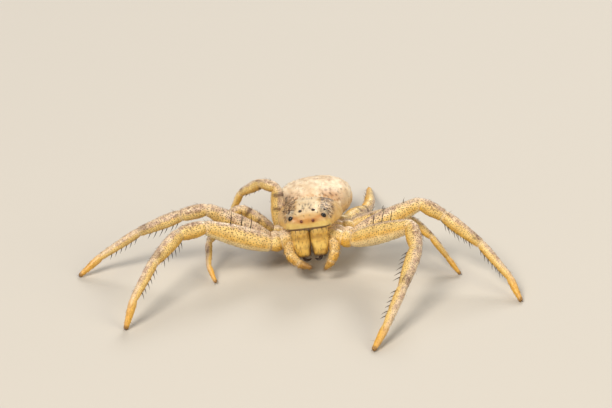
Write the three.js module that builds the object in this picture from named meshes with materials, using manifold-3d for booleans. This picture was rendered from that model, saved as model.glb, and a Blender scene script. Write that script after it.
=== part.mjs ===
// A crab spider on its eight feet, with its front legs spread in readiness, as a still life-size model.
// Millimetres, +Z up. The face looks toward -Y and the spider's own left side is toward +X.
// The body parts stand in a group that is pitched, rolled and turned as one; the legs reach down to z = 0.
import * as THREE from 'three';
import Module from 'manifold-3d';

const wasm = await Module();
wasm.setup();

// Cuts that keep neighbouring pieces apart, in proportion to an animal eight millimetres long.
const jointGap = 0.1;
const bodyGap = 0.08;
const eyeGap = 0.04;

const bodyCentre = new THREE.Vector3(0.59, 0.62, 1.72);
const bodyPitch = -10;
const bodyRoll = -8.5;
const bodyYaw = -1.5;

const legSides = 12;
const bodySides = 28;
const jawSides = 18;
const jawRings = 8;

const finishes = {
  carapace: { color: '#cdb48c', roughness: 0.55 },
  underside: { color: '#d9b45a', roughness: 0.6 },
  abdomen: { color: '#e6d3b0', roughness: 0.7 },
  jaw: { color: '#d3a536', roughness: 0.45 },
  claw: { color: '#3a1d10', roughness: 0.3 },
  eye: { color: '#080504', roughness: 0.08 },
  smallEye: { color: '#5a2410', roughness: 0.12 },
  leg: { color: '#e2c887', roughness: 0.6 },
  foot: { color: '#e3b64a', roughness: 0.6 },
};

// Stations along the body: position from front to back, half width, top and bottom.
const carapaceStations = [
  [-1.62, 0.86, 1.08, 0.47],
  [-1.5, 0.97, 1.17, 0.43],
  [-1.15, 1.15, 1.34, 0.4],
  [-0.4, 1.43, 1.47, 0.38],
  [0.3, 1.53, 1.45, 0.38],
  [0.9, 1.38, 1.24, 0.38],
  [1.3, 1.02, 0.98, 0.42],
  [1.52, 0.62, 0.78, 0.47],
];
const sternumStations = [
  [-0.95, 0.2, 0.2, -0.22],
  [-0.6, 0.42, 0.28, -0.36],
  [0, 0.54, 0.3, -0.42],
  [0.6, 0.38, 0.28, -0.36],
  [0.98, 0.15, 0.2, -0.2],
];
const abdomenStations = [
  [1.64, 0.55, 0.72, -0.05],
  [1.8, 1.05, 0.98, -0.28],
  [2.2, 1.48, 1.16, -0.48],
  [2.9, 1.7, 1.27, -0.6],
  [3.7, 1.8, 1.28, -0.64],
  [4.5, 1.68, 1.16, -0.6],
  [5.1, 1.38, 0.96, -0.5],
  [5.55, 0.92, 0.7, -0.34],
  [5.8, 0.46, 0.46, -0.14],
];
const carapaceMargin = 0.14;
const carapaceFlatness = 0.92;
const sternumFlatness = 0.8;
const abdomenFlatness = 0.86;

const eyes = [
  { name: 'front_median', at: [0.27, -1.6, 0.92], facing: [0.15, -1, 0.15], radius: 0.085, finish: 'smallEye' },
  { name: 'front_lateral', at: [0.75, -1.42, 1.03], facing: [0.5, -1, 0.2], radius: 0.12, finish: 'eye' },
  { name: 'rear_median', at: [0.31, -1.22, 1.3], facing: [0.2, -0.6, 0.8], radius: 0.085, finish: 'smallEye' },
  { name: 'rear_lateral', at: [0.82, -1.12, 1.2], facing: [0.9, -0.2, 0.5], radius: 0.09, finish: 'smallEye' },
];
const eyeSink = 0.35;
const eyeLift = 0.05;
const tubercleRadius = 0.16;
const tubercleSink = 0.1;

const jaw = {
  centre: 0.46,
  front: -1.36,
  top: 0.6,
  bottom: -0.78,
  halfWidth: 0.41,
  halfDepth: 0.3,
  tipScale: 0.76,
  taperPower: 3,
  inward: 0.05,
  forward: 0.05,
  flatness: 0.8,
  endDrop: 0.07,
  endShrink: 0.35,
};
const fang = { root: [0.4, -1.5, -0.9], tip: [0.1, -1.32, -1.02], sag: 0.05, radii: [0.1, 0.08, 0.035] };
const pedicel = { radius: 0.2, height: 0.12, front: 0.6, back: 2.2 };
const spinnerets = {
  root: [0, 5.4, 0.1],
  hubRadii: [0.36, 0.28],
  hubLength: 0.68,
  spread: 0.17,
  gather: 0.8,
  radius: 0.13,
  length: 0.96,
  sag: 0.1,
  count: 4,
};

const palpRadii = [0.2, 0.22, 0.22, 0.22, 0.15];
const palpTip = 0.12;
const palpJoints = {
  right: [[0.5, -1.0, -0.45], [0.98, -1.3, -0.3], [0.99, -1.72, -0.6], [0.62, -1.92, -1.0], [0.17, -1.9, -1.24]],
  left: [[0.5, -1.0, -0.45], [1.0, -1.3, -0.38], [1.04, -1.62, -0.74], [0.84, -1.74, -1.12], [0.56, -1.72, -1.42]],
};

// Links in order: femur, patella, tibia, metatarsus, tarsus. Root and hip are in the body's own frame.
const legPairs = {
  leg1: { root: [0.3, -0.68, -0.08], hip: [1.9, -1.0, -0.15], girth: 1, lengths: [3.35, 1.3, 2.25, 2.15, 1.3] },
  leg2: { root: [0.3, -0.22, -0.04], hip: [2.0, -0.35, 0.05], girth: 0.92, lengths: [3.4, 1.25, 2.2, 2.1, 1.25] },
  leg3: { root: [0.3, 0.24, -0.04], hip: [1.9, 0.4, 0], girth: 0.68, lengths: [1.95, 0.85, 1.4, 1.25, 0.9] },
  leg4: { root: [0.3, 0.72, -0.04], hip: [1.6, 1.12, 0], girth: 0.74, lengths: [1.9, 0.85, 1.55, 1.35, 0.85] },
};

// Degrees for each link. Sweep turns forward from straight sideways, rise lifts from level.
// The body leans, so a hip's drop says how far below its place in the level body it stands.
const stances = {
  leg1_right: { drop: 0.05, sweep: [12, 24, 60, 64, 62], rise: [22, -4, -18, -34, -64] },
  leg2_right: { drop: 0.2, sweep: [6, -4, 0, 15, 30], rise: [31, -17, -26, -32, -34] },
  leg3_right: { drop: 0, sweep: [8, 2, 40, 90, 115], rise: [42, -34, -62, -56, -50] },
  leg4_right: { drop: 0.1, sweep: [-75, -30, -38, -35, -25], rise: [74, 2, -36, -66, -66] },
  leg1_left: { drop: 0.3, sweep: [27, 80, 109, 114, 118], rise: [26.5, -24, -26, -28, -26] },
  leg2_left: { drop: 0.48, sweep: [-3, 16, 30, 44, 66], rise: [28, -24, -27, -32, -30] },
  leg3_left: { drop: 0.2, sweep: [-12, 18, 32, 40, 46], rise: [15, -15, -30, -42, -38] },
  leg4_left: { drop: 0.1, sweep: [-60, -78, -88, -90, -90], rise: [-10, -8, -20, -28, -25] },
};

// Half thickness of each link where it starts, where it is fullest and where it ends, for a girth of 1.
const linkShapes = {
  coxa: { start: 0.22, full: 0.42, end: 0.34, peak: 0.55, narrow: 0.66, rings: 5 },
  femur: { start: 0.35, full: 0.51, end: 0.33, peak: 0.42, narrow: 0.84, rings: 7 },
  patella: { start: 0.31, full: 0.37, end: 0.3, peak: 0.55, narrow: 0.92, rings: 4 },
  tibia: { start: 0.29, full: 0.34, end: 0.26, peak: 0.4, narrow: 0.92, rings: 5 },
  metatarsus: { start: 0.25, full: 0.27, end: 0.24, peak: 0.35, narrow: 0.96, rings: 5 },
  tarsus: { start: 0.24, full: 0.25, end: 0.17, peak: 0.3, narrow: 1, rings: 5 },
};
const thinnestRadius = 0.22;
const tipRadius = 0.17;
const tipHeight = 0.12;
const dropLimits = [-40, 50];
const halvings = 40;
const coxaWidth = 0.64;

const spineRoot = 0.09;
const spineSides = 5;
const spineSunk = 0.12;
const spineTipShare = 0.25;
const spineSeat = 0.92;
const femurSpines = { places: [0.36, 0.5, 0.66], turn: 16, length: 0.76, lean: 0.12 };
const tibiaSpines = { places: [0.25, 0.5, 0.78], turn: 148, length: 0.42, lean: 0.7 };
const metatarsusSpines = { places: [0.12, 0.38, 0.64], turn: 146, length: 0.36, lean: 0.75 };

const radians = THREE.MathUtils.degToRad;
const vector = ([x, y, z]) => new THREE.Vector3(x, y, z);
const mirrored = ([x, y, z], side) => new THREE.Vector3(x * side, y, z);

const bodyFrame = new THREE.Group();
bodyFrame.position.copy(bodyCentre);
bodyFrame.rotation.set(radians(bodyPitch), radians(bodyRoll), radians(bodyYaw), 'ZYX');
bodyFrame.updateMatrixWorld(true);

// A closed solid from rings of points that follow one another, its two ends closed by fans.
function loft(rings) {
  const sides = rings[0].length;
  const points = rings.flat();
  const triangles = [];
  for (let i = 0; i < rings.length - 1; i += 1) {
    for (let j = 0; j < sides; j += 1) {
      const a = i * sides + j;
      const b = i * sides + ((j + 1) % sides);
      triangles.push([a, b, b + sides], [a, b + sides, a + sides]);
    }
  }
  for (const [first, flip] of [[0, true], [(rings.length - 1) * sides, false]]) {
    const middle = new THREE.Vector3();
    for (let j = 0; j < sides; j += 1) middle.addScaledVector(points[first + j], 1 / sides);
    const hub = points.push(middle) - 1;
    for (let j = 0; j < sides; j += 1) {
      const a = first + j;
      const b = first + ((j + 1) % sides);
      triangles.push(flip ? [hub, b, a] : [hub, a, b]);
    }
  }
  return closedSolid(points, triangles);
}

function closedSolid(points, triangles) {
  let volume = 0;
  for (const [a, b, c] of triangles) {
    volume += points[a].dot(new THREE.Vector3().crossVectors(points[b], points[c]));
  }
  const facing = volume > 0 ? triangles : triangles.map(([a, b, c]) => [a, c, b]);
  const mesh = new wasm.Mesh({
    numProp: 3,
    vertProperties: new Float32Array(points.flatMap((point) => point.toArray())),
    triVerts: new Uint32Array(facing.flat()),
  });
  return new wasm.Manifold(mesh);
}

// One ring round a centre; the outline is an ellipse, squarer where flatness is below 1.
function ring(centre, across, upward, halfWidth, halfHeight, sides, flatness = 1) {
  const points = [];
  for (let j = 0; j < sides; j += 1) {
    const angle = (2 * Math.PI * j) / sides;
    const c = Math.cos(angle);
    const s = Math.sin(angle);
    const x = Math.sign(c) * Math.abs(c) ** flatness * halfWidth;
    const y = Math.sign(s) * Math.abs(s) ** flatness * halfHeight;
    points.push(centre.clone().addScaledVector(across, x).addScaledVector(upward, y));
  }
  return points;
}

// A smooth curve through the stations, sampled evenly, so that few named stations give a round body.
function sampledStations(stations, count) {
  const curve = new THREE.CatmullRomCurve3(stations.map(([y, w, top]) => new THREE.Vector3(y, w, top)));
  const lower = new THREE.CatmullRomCurve3(stations.map(([y, , , bottom]) => new THREE.Vector3(y, bottom, 0)));
  const samples = [];
  for (let i = 0; i < count; i += 1) {
    const t = i / (count - 1);
    const upper = curve.getPoint(t);
    samples.push({ y: upper.x, halfWidth: upper.y, top: upper.z, bottom: lower.getPoint(t).y });
  }
  return samples;
}

// A body shell along Y. Each section has a widest level, a dome above it and a bowl below it.
function bodyShell(stations, { count, level, flatness, grow = 0, sides = bodySides }) {
  const samples = sampledStations(stations, count);
  const rings = samples.map(({ y, halfWidth, top, bottom }, index) => {
    const widest = level(top, bottom);
    const points = [];
    const endShift = index === 0 ? -grow : index === count - 1 ? grow : 0;
    for (let j = 0; j < sides; j += 1) {
      const angle = (2 * Math.PI * j) / sides;
      const c = Math.cos(angle);
      const s = Math.sin(angle);
      const reach = s > 0 ? top - widest + grow : widest - bottom + grow;
      const x = Math.sign(c) * Math.abs(c) ** flatness * (halfWidth + grow);
      points.push(new THREE.Vector3(x, y + endShift, widest + Math.sign(s) * Math.abs(s) ** flatness * reach));
    }
    return points;
  });
  return loft(rings);
}

function carapaceShell(grow = 0) {
  const level = (top, bottom) => bottom + carapaceMargin;
  return bodyShell(carapaceStations, { count: 17, level, flatness: carapaceFlatness, grow });
}

function sternumShell(grow = 0) {
  const level = (top, bottom) => (top + bottom) / 2;
  return bodyShell(sternumStations, { count: 9, level, flatness: sternumFlatness, grow, sides: 16 });
}

function abdomenShell(grow = 0) {
  const level = (top, bottom) => (top + bottom) / 2;
  return bodyShell(abdomenStations, { count: 18, level, flatness: abdomenFlatness, grow });
}

function ball(centre, radius, rows = 8, sides = 12) {
  const rings = [];
  for (let i = 0; i < rows; i += 1) {
    const angle = Math.PI * ((i + 0.5) / rows);
    const place = centre.clone().setZ(centre.z - radius * Math.cos(angle));
    const around = radius * Math.sin(angle);
    rings.push(ring(place, new THREE.Vector3(1, 0, 0), new THREE.Vector3(0, 1, 0), around, around, sides));
  }
  return loft(rings);
}

function largestBody(solid) {
  const bodies = solid.decompose();
  return bodies.reduce((best, body) => (body.volume() > best.volume() ? body : best));
}

function meshOf(name, solid, finishName) {
  const { vertProperties, triVerts } = largestBody(solid).getMesh();
  const geometry = new THREE.BufferGeometry();
  geometry.setAttribute('position', new THREE.BufferAttribute(new Float32Array(vertProperties), 3));
  geometry.setIndex(new THREE.BufferAttribute(new Uint32Array(triVerts), 1));
  geometry.computeVertexNormals();
  const { color, roughness } = finishes[finishName];
  const mesh = new THREE.Mesh(geometry, new THREE.MeshStandardMaterial({ color, roughness, metalness: 0 }));
  mesh.name = name;
  return mesh;
}

// The half thickness along a link, fullest at its peak.
function thickness({ start, full, end, peak }, t) {
  const swell = Math.sin(Math.PI * t ** (Math.log(0.5) / Math.log(peak)));
  return start + (end - start) * t + (full - (start + end) / 2) * swell;
}

function directionOf(sweep, rise, side) {
  const flat = Math.cos(radians(rise));
  return new THREE.Vector3(
    side * Math.cos(radians(sweep)) * flat,
    -Math.sin(radians(sweep)) * flat,
    Math.sin(radians(rise)),
  );
}

// The joints from hip to tip. The links beyond the patella turn down together until the foot stands.
function legJoints(pair, stance, side) {
  const [hipX, hipY, hipZ] = pair.hip;
  const hip = bodyFrame.localToWorld(new THREE.Vector3(hipX * side, hipY, hipZ - stance.drop));
  const reach = (drop) => {
    const joints = [hip.clone()];
    pair.lengths.forEach((length, i) => {
      const rise = stance.rise[i] - (i > 1 ? drop : 0);
      joints.push(joints[i].clone().addScaledVector(directionOf(stance.sweep[i], rise, side), length));
    });
    return joints;
  };
  let [low, high] = dropLimits;
  for (let i = 0; i < halvings; i += 1) {
    const middle = (low + high) / 2;
    if (reach(middle).at(-1).z > tipHeight) low = middle;
    else high = middle;
  }
  return reach(low);
}

// Frames along a bent path: at each joint the ring lies in the plane that halves the bend.
function pathFrames(joints, firstUpward) {
  const directions = joints.slice(1).map((joint, i) => joint.clone().sub(joints[i]).normalize());
  const upwards = [];
  let upward = firstUpward.clone();
  directions.forEach((direction) => {
    upward = upward.clone().addScaledVector(direction, -upward.dot(direction)).normalize();
    upwards.push(upward);
  });
  const tangents = joints.map((joint, i) => {
    const before = directions[Math.max(0, i - 1)];
    const after = directions[Math.min(directions.length - 1, i)];
    return before.clone().add(after).normalize();
  });
  return { directions, upwards, tangents };
}

function squareTo(upward, direction) {
  return upward.clone().addScaledVector(direction, -upward.dot(direction)).normalize();
}

// The rings of one link, between its two joints; a cut end stands back from its joint by half the gap.
function linkRings(frames, joints, index, shape, girth, { cutStart, cutEnd }) {
  const rings = [];
  const last = shape.rings - 1;
  for (let i = 0; i <= last; i += 1) {
    const t = i / last;
    const centre = joints[index].clone().lerp(joints[index + 1], t);
    let direction = frames.directions[index];
    if (i === 0) direction = frames.tangents[index];
    if (i === last) direction = frames.tangents[index + 1];
    if (i === 0 && cutStart) centre.addScaledVector(direction, jointGap / 2);
    if (i === last && cutEnd) centre.addScaledVector(direction, -jointGap / 2);
    const upward = squareTo(frames.upwards[index], direction);
    const across = new THREE.Vector3().crossVectors(direction, upward);
    const half = Math.max(thickness(shape, t) * girth, Math.min(thinnestRadius, shape.end));
    rings.push(ring(centre, across, upward, half * shape.narrow, half, legSides));
  }
  return rings;
}

function spine(base, direction, length) {
  const sunk = base.clone().addScaledVector(direction, -spineSunk);
  const sideways = Math.abs(direction.z) < 0.9 ? new THREE.Vector3(0, 0, 1) : new THREE.Vector3(1, 0, 0);
  const across = new THREE.Vector3().crossVectors(direction, sideways).normalize();
  const upward = new THREE.Vector3().crossVectors(across, direction);
  const tip = base.clone().addScaledVector(direction, length);
  const tipWidth = spineRoot * spineTipShare;
  return loft([
    ring(sunk, across, upward, spineRoot, spineRoot, spineSides),
    ring(tip, across, upward, tipWidth, tipWidth, spineSides),
  ]);
}

// Spines on one link, set on its surface at a turn from its upper line; the front side faces -Y.
function linkSpines(frames, joints, index, shape, girth, { places, turn, length, lean }, bothSides) {
  const direction = frames.directions[index];
  const upward = squareTo(frames.upwards[index], direction);
  const across = new THREE.Vector3().crossVectors(direction, upward);
  if (across.y > 0) across.negate();
  const spines = [];
  for (const place of places) {
    const half = thickness(shape, place) * girth;
    const centre = joints[index].clone().lerp(joints[index + 1], place);
    for (const hand of bothSides ? [1, -1] : [1]) {
      const outward = upward.clone().multiplyScalar(Math.cos(radians(turn)));
      outward.addScaledVector(across, hand * Math.sin(radians(turn)));
      const base = centre.clone().addScaledVector(outward, half * spineSeat);
      const aim = outward.clone().addScaledVector(direction, lean).normalize();
      spines.push(spine(base, aim, length));
    }
  }
  return spines;
}

function joined(solid, additions) {
  return additions.reduce((whole, piece) => whole.add(piece), solid);
}

// A rounded tip beyond the last joint, cut level where the foot stands on the floor.
function tipRings(end, direction, upward) {
  const across = new THREE.Vector3().crossVectors(direction, upward);
  return [45, 78].map((angle) => {
    const centre = end.clone().addScaledVector(direction, tipRadius * Math.sin(radians(angle)));
    const around = tipRadius * Math.cos(radians(angle));
    return ring(centre, across, upward, around, around, legSides);
  });
}

function buildLeg(name, pairName, sideName) {
  const side = sideName === 'left' ? 1 : -1;
  const pair = legPairs[pairName];
  const joints = legJoints(pair, stances[name], side);
  const femur = joints[1].clone().sub(joints[0]).normalize();
  const patella = joints[2].clone().sub(joints[1]).normalize();
  const frames = pathFrames(joints, squareTo(femur.clone().sub(patella), femur));
  const { girth } = pair;
  const shapes = linkShapes;
  const spiny = pairName === 'leg1' || pairName === 'leg2';

  const cutBoth = { cutStart: true, cutEnd: true };
  let femurSolid = loft(linkRings(frames, joints, 0, shapes.femur, girth, cutBoth));
  if (pairName === 'leg1') {
    femurSolid = joined(femurSolid, linkSpines(frames, joints, 0, shapes.femur, girth, femurSpines, false));
  }
  const patellaRings = linkRings(frames, joints, 1, shapes.patella, girth, { cutStart: true });
  const shinRings = linkRings(frames, joints, 2, shapes.tibia, girth, { cutEnd: true });
  let tibiaSolid = loft([...patellaRings, ...shinRings.slice(1)]);
  const metatarsusRings = linkRings(frames, joints, 3, shapes.metatarsus, girth, { cutStart: true });
  const tarsusRings = linkRings(frames, joints, 4, shapes.tarsus, girth, {});
  const roundEnd = tipRings(joints[5], frames.directions[4], squareTo(frames.upwards[4], frames.directions[4]));
  let footSolid = loft([...metatarsusRings, ...tarsusRings.slice(1), ...roundEnd]);
  if (spiny) {
    tibiaSolid = joined(tibiaSolid, linkSpines(frames, joints, 2, shapes.tibia, girth, tibiaSpines, true));
    const footSpines = linkSpines(frames, joints, 3, shapes.metatarsus, girth, metatarsusSpines, true);
    footSolid = joined(footSolid, footSpines);
  }
  footSolid = footSolid.trimByPlane([0, 0, 1], 0);

  // The coxa and trochanter are built in the body's frame, from the sternum out to the hip.
  const inBody = joints.slice(0, 2).map((joint) => bodyFrame.worldToLocal(joint.clone()));
  const coxaJoints = [mirrored(pair.root, side), ...inBody];
  const coxaFrames = pathFrames(coxaJoints, new THREE.Vector3(0, 0, 1));
  const coxaShape = { ...shapes.coxa, narrow: coxaWidth };
  const coxaRings = linkRings(coxaFrames, coxaJoints, 0, coxaShape, girth, { cutEnd: true });
  const coxaSolid = loft(coxaRings).subtract(sternumShell(bodyGap));

  return {
    coxa: meshOf(`${name}_coxa`, coxaSolid, 'underside'),
    standing: [
      meshOf(`${name}_femur`, femurSolid, 'leg'),
      meshOf(`${name}_tibia`, tibiaSolid, 'leg'),
      meshOf(`${name}_foot`, footSolid, 'foot'),
    ],
  };
}

// Each eye sits on the carapace where a line along its own gaze meets the surface.
function seatEye(eye, side, surface) {
  const gaze = mirrored(eye.facing, side).normalize();
  const start = mirrored(eye.at, side).addScaledVector(gaze, 1);
  const ray = new THREE.Raycaster(start, gaze.clone().negate());
  const hit = ray.intersectObject(surface)[0].point;
  return { gaze, hit, centre: hit.clone().addScaledVector(gaze, -eye.radius * eyeSink) };
}

function buildHead() {
  const plain = carapaceShell();
  const surface = meshOf('surface', plain, 'carapace');
  let shell = plain;
  const seats = [];
  for (const [sideName, side] of [['right', -1], ['left', 1]]) {
    for (const eye of eyes) {
      const seat = seatEye(eye, side, surface);
      if (eye.name.endsWith('lateral')) {
        const knob = seat.hit.clone().addScaledVector(seat.gaze, -tubercleSink);
        shell = shell.add(ball(knob, tubercleRadius, 6));
        seat.centre.addScaledVector(seat.gaze, eyeLift);
      }
      seats.push({ ...seat, eye, sideName });
    }
  }
  const meshes = seats.map(({ centre, eye, sideName }) => {
    shell = shell.subtract(ball(centre, eye.radius + eyeGap));
    return meshOf(`eye_${eye.name}_${sideName}`, ball(centre, eye.radius), eye.finish);
  });
  return [meshOf('carapace', shell, 'carapace'), ...meshes];
}

function jawSolid(side, grow = 0) {
  const rings = [];
  const count = jawRings;
  for (let i = 0; i < count; i += 1) {
    const t = i / (count - 1);
    const z = jaw.top + (jaw.bottom - jaw.top) * t;
    const scale = 1 - (1 - jaw.tipScale) * t ** jaw.taperPower;
    const halfWidth = jaw.halfWidth * scale + grow;
    const halfDepth = jaw.halfDepth * scale + grow;
    const centre = new THREE.Vector3(side * (jaw.centre - jaw.inward * t), jaw.front - jaw.forward * t, z);
    const across = new THREE.Vector3(1, 0, 0);
    const back = new THREE.Vector3(0, 1, 0);
    rings.push(ring(centre, across, back, halfWidth, halfDepth, jawSides, jaw.flatness));
  }
  const roundEnd = rings.at(-1).map((point) => point.clone());
  const hub = roundEnd.reduce((sum, point) => sum.addScaledVector(point, 1 / roundEnd.length), new THREE.Vector3());
  rings.push(roundEnd.map((point) => point.lerp(hub, jaw.endShrink).setZ(point.z - jaw.endDrop - grow)));
  return loft(rings);
}

function taper(joints, radii, sides = 10) {
  const upward = new THREE.Vector3(0, 0, 1);
  const first = joints[1].clone().sub(joints[0]).normalize();
  const frames = pathFrames(joints, squareTo(Math.abs(first.z) > 0.9 ? new THREE.Vector3(0, 1, 0) : upward, first));
  const rings = joints.map((joint, i) => {
    const direction = frames.tangents[i];
    const up = squareTo(frames.upwards[Math.min(i, frames.upwards.length - 1)], direction);
    const across = new THREE.Vector3().crossVectors(direction, up);
    return ring(joint, across, up, radii[i], radii[i], sides);
  });
  return loft(rings);
}

function buildMouth() {
  const clypeus = carapaceShell(bodyGap);
  const meshes = [];
  for (const [sideName, side] of [['right', -1], ['left', 1]]) {
    const solid = jawSolid(side).subtract(clypeus);
    meshes.push(meshOf(`chelicera_${sideName}`, solid, 'jaw'));
    const root = mirrored(fang.root, side);
    const tip = mirrored(fang.tip, side);
    const middle = root.clone().lerp(tip, 0.5).setZ((root.z + tip.z) / 2 - fang.sag);
    const fangSolid = taper([root, middle, tip], fang.radii, 8);
    meshes.push(meshOf(`fang_${sideName}`, fangSolid, 'claw'));
  }
  return meshes;
}

// Each feeler is a bent row of links, cut once at its middle joint.
function buildPalp(sideName) {
  const side = sideName === 'left' ? 1 : -1;
  const joints = palpJoints[sideName].map((joint) => mirrored(joint, side));
  const frames = pathFrames(joints, new THREE.Vector3(0, 1, 0));
  const cut = frames.tangents[2].clone().multiplyScalar(jointGap / 2);
  const upper = [joints[0], joints[1], joints[2].clone().sub(cut)];
  const lower = [joints[2].clone().add(cut), joints[3], joints[4]];
  const tip = joints[4].clone().addScaledVector(frames.directions[3], palpTip);
  const upperSolid = taper(upper, palpRadii.slice(0, 3));
  const lowerSolid = taper([...lower, tip], [...palpRadii.slice(2), palpRadii[4] * 0.5]);
  return [
    meshOf(`palp_${sideName}_upper`, upperSolid.subtract(jawSolid(side, bodyGap)), 'leg'),
    meshOf(`palp_${sideName}_lower`, lowerSolid.subtract(jawSolid(side, bodyGap)), 'foot'),
  ];
}

function buildRear() {
  const cutter = abdomenShell(bodyGap);
  const front = new THREE.Vector3(0, pedicel.front, pedicel.height);
  const back = new THREE.Vector3(0, pedicel.back, pedicel.height);
  const stalk = taper([front, back], [pedicel.radius, pedicel.radius], 14);
  const pedicelSolid = stalk.subtract(cutter).subtract(carapaceShell(bodyGap)).subtract(sternumShell(bodyGap));
  const root = vector(spinnerets.root);
  const hubEnd = root.clone().add(new THREE.Vector3(0, spinnerets.hubLength, 0));
  let cluster = taper([root, hubEnd], spinnerets.hubRadii, 12);
  for (let i = 0; i < spinnerets.count; i += 1) {
    const angle = (Math.PI * (2 * i + 1)) / spinnerets.count;
    const offset = new THREE.Vector3(Math.cos(angle), 0, Math.sin(angle)).multiplyScalar(spinnerets.spread);
    const foot = root.clone().addScaledVector(offset, spinnerets.gather);
    const tip = root.clone().addScaledVector(offset, 1).add(new THREE.Vector3(0, spinnerets.length, -spinnerets.sag));
    const cone = taper([foot, tip], [spinnerets.radius, spinnerets.radius * 0.5], 10);
    cluster = cluster.add(cone);
  }
  return [
    meshOf('pedicel', pedicelSolid, 'underside'),
    meshOf('abdomen', abdomenShell(), 'abdomen'),
    meshOf('spinnerets', cluster.subtract(cutter), 'underside'),
  ];
}

const group = new THREE.Group();
group.name = 'crab_spider';
bodyFrame.name = 'body';
group.add(bodyFrame);
bodyFrame.add(...buildHead());
bodyFrame.add(meshOf('sternum', sternumShell(), 'underside'));
bodyFrame.add(...buildMouth());
bodyFrame.add(...buildPalp('right'), ...buildPalp('left'));
bodyFrame.add(...buildRear());
for (const pairName of Object.keys(legPairs)) {
  for (const sideName of ['right', 'left']) {
    const leg = buildLeg(`${pairName}_${sideName}`, pairName, sideName);
    bodyFrame.add(leg.coxa);
    group.add(...leg.standing);
  }
}

export default group;
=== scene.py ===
"""A crab spider as a museum model: skins, eyes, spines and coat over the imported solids.

Everything is in metres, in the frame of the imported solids. The sizes below are in millimetres, and MM
turns them into metres where a mesh is made.
"""

import logging
import math
from dataclasses import dataclass, field, replace
from enum import Enum, IntEnum
from typing import Callable, Optional, Sequence

import bpy
import numpy as np
from mathutils import Euler, Matrix, Vector

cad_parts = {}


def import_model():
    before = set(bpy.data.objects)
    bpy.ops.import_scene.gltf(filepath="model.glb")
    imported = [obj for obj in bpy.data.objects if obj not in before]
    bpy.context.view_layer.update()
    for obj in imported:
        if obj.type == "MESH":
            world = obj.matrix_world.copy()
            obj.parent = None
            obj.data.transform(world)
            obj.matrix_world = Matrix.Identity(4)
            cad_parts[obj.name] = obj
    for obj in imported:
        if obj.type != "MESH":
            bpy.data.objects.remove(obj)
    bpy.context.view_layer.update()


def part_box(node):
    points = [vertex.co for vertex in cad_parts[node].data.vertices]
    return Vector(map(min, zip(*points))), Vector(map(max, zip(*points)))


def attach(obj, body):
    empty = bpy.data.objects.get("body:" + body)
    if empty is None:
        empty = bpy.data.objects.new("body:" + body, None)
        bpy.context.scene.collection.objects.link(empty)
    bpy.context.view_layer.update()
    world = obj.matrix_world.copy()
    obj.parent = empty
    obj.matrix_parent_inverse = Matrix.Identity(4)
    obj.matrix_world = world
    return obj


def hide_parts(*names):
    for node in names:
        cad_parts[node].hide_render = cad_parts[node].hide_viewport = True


Rows = Sequence[Sequence[float]]
Point = tuple[float, float, float]
Finishes = dict[str, bpy.types.Material]

LOG = logging.getLogger("crab_spider")
MM = 0.001
SKIN_GAP = 0.004
HAIR_GAP = 0.01
HAIR_GIVE = 0.05
ATTRIBUTE_FIELDS = {"FLOAT": "value", "FLOAT_VECTOR": "vector", "FLOAT_COLOR": "color"}


class Side(Enum):
    """The spider's own left and right; its left is toward +X."""

    RIGHT = -1
    LEFT = 1

    @property
    def word(self) -> str:
        """The side's name as the node names spell it."""
        return self.name.lower()

    @property
    def mirror(self) -> np.ndarray:
        """What a point of the left side is multiplied by to lie on this side."""
        return np.array([self.value, 1, 1])


def srgb(text: str) -> np.ndarray:
    """Turn a hex colour into linear red, green and blue.

    Args:
        text: Six hex digits after a hash sign.

    Returns:
        Three linear values.
    """
    value = np.array([int(text[i : i + 2], 16) for i in (1, 3, 5)]) / 255.0
    return np.where(value <= 0.04045, value / 12.92, ((value + 0.055) / 1.055) ** 2.4)


def smooth(edge0: float, edge1: float, value: np.ndarray) -> np.ndarray:
    """A soft step from 0 at edge0 to 1 at edge1."""
    t = np.clip((value - edge0) / (edge1 - edge0), 0.0, 1.0)
    return t * t * (3.0 - 2.0 * t)


def bump(distance: np.ndarray, radius: float) -> np.ndarray:
    """A round bump that is 1 at distance 0 and 0 from radius on."""
    return np.clip(1.0 - (distance / radius) ** 2, 0.0, 1.0) ** 2


def unit(vector: np.ndarray) -> np.ndarray:
    """Vectors scaled to length 1 along the last axis."""
    return vector / np.maximum(np.linalg.norm(vector, axis=-1, keepdims=True), 1e-12)


def ridge(value: np.ndarray, place: float, width: float) -> np.ndarray:
    """A round ridge that is 1 at its place and fades over its width."""
    return np.exp(-0.5 * ((value - place) / width) ** 2)


class Paint:
    """Linear colours for the points of a skin, laid one over another."""

    def __init__(self, base: str, count: int) -> None:
        """Start with one hex colour on all the points."""
        self.colour = np.tile(srgb(base), (count, 1))

    def lay(self, text: str, share: np.ndarray) -> None:
        """Blend toward a hex colour by a share for each point."""
        self.colour = self.colour * (1.0 - share[:, None]) + srgb(text)[None, :] * share[:, None]


def wander(points: np.ndarray, scale: float, seed: int) -> np.ndarray:
    """Slow, repeatable noise from a few sines, between about -1 and 1.

    Args:
        points: Rows of positions in millimetres.
        scale: Length of one wave in millimetres.
        seed: Number that fixes the waves.

    Returns:
        One value for each point.
    """
    rng = np.random.default_rng(seed)
    total = np.zeros(len(points))
    waves = 9
    for _ in range(waves):
        direction = unit(rng.normal(size=3))
        pitch = 2.0 * math.pi / (scale * rng.uniform(0.6, 1.5))
        total += np.sin(points @ direction * pitch + rng.uniform(0, 2.0 * math.pi))
    return total / math.sqrt(waves) * 0.8


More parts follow.
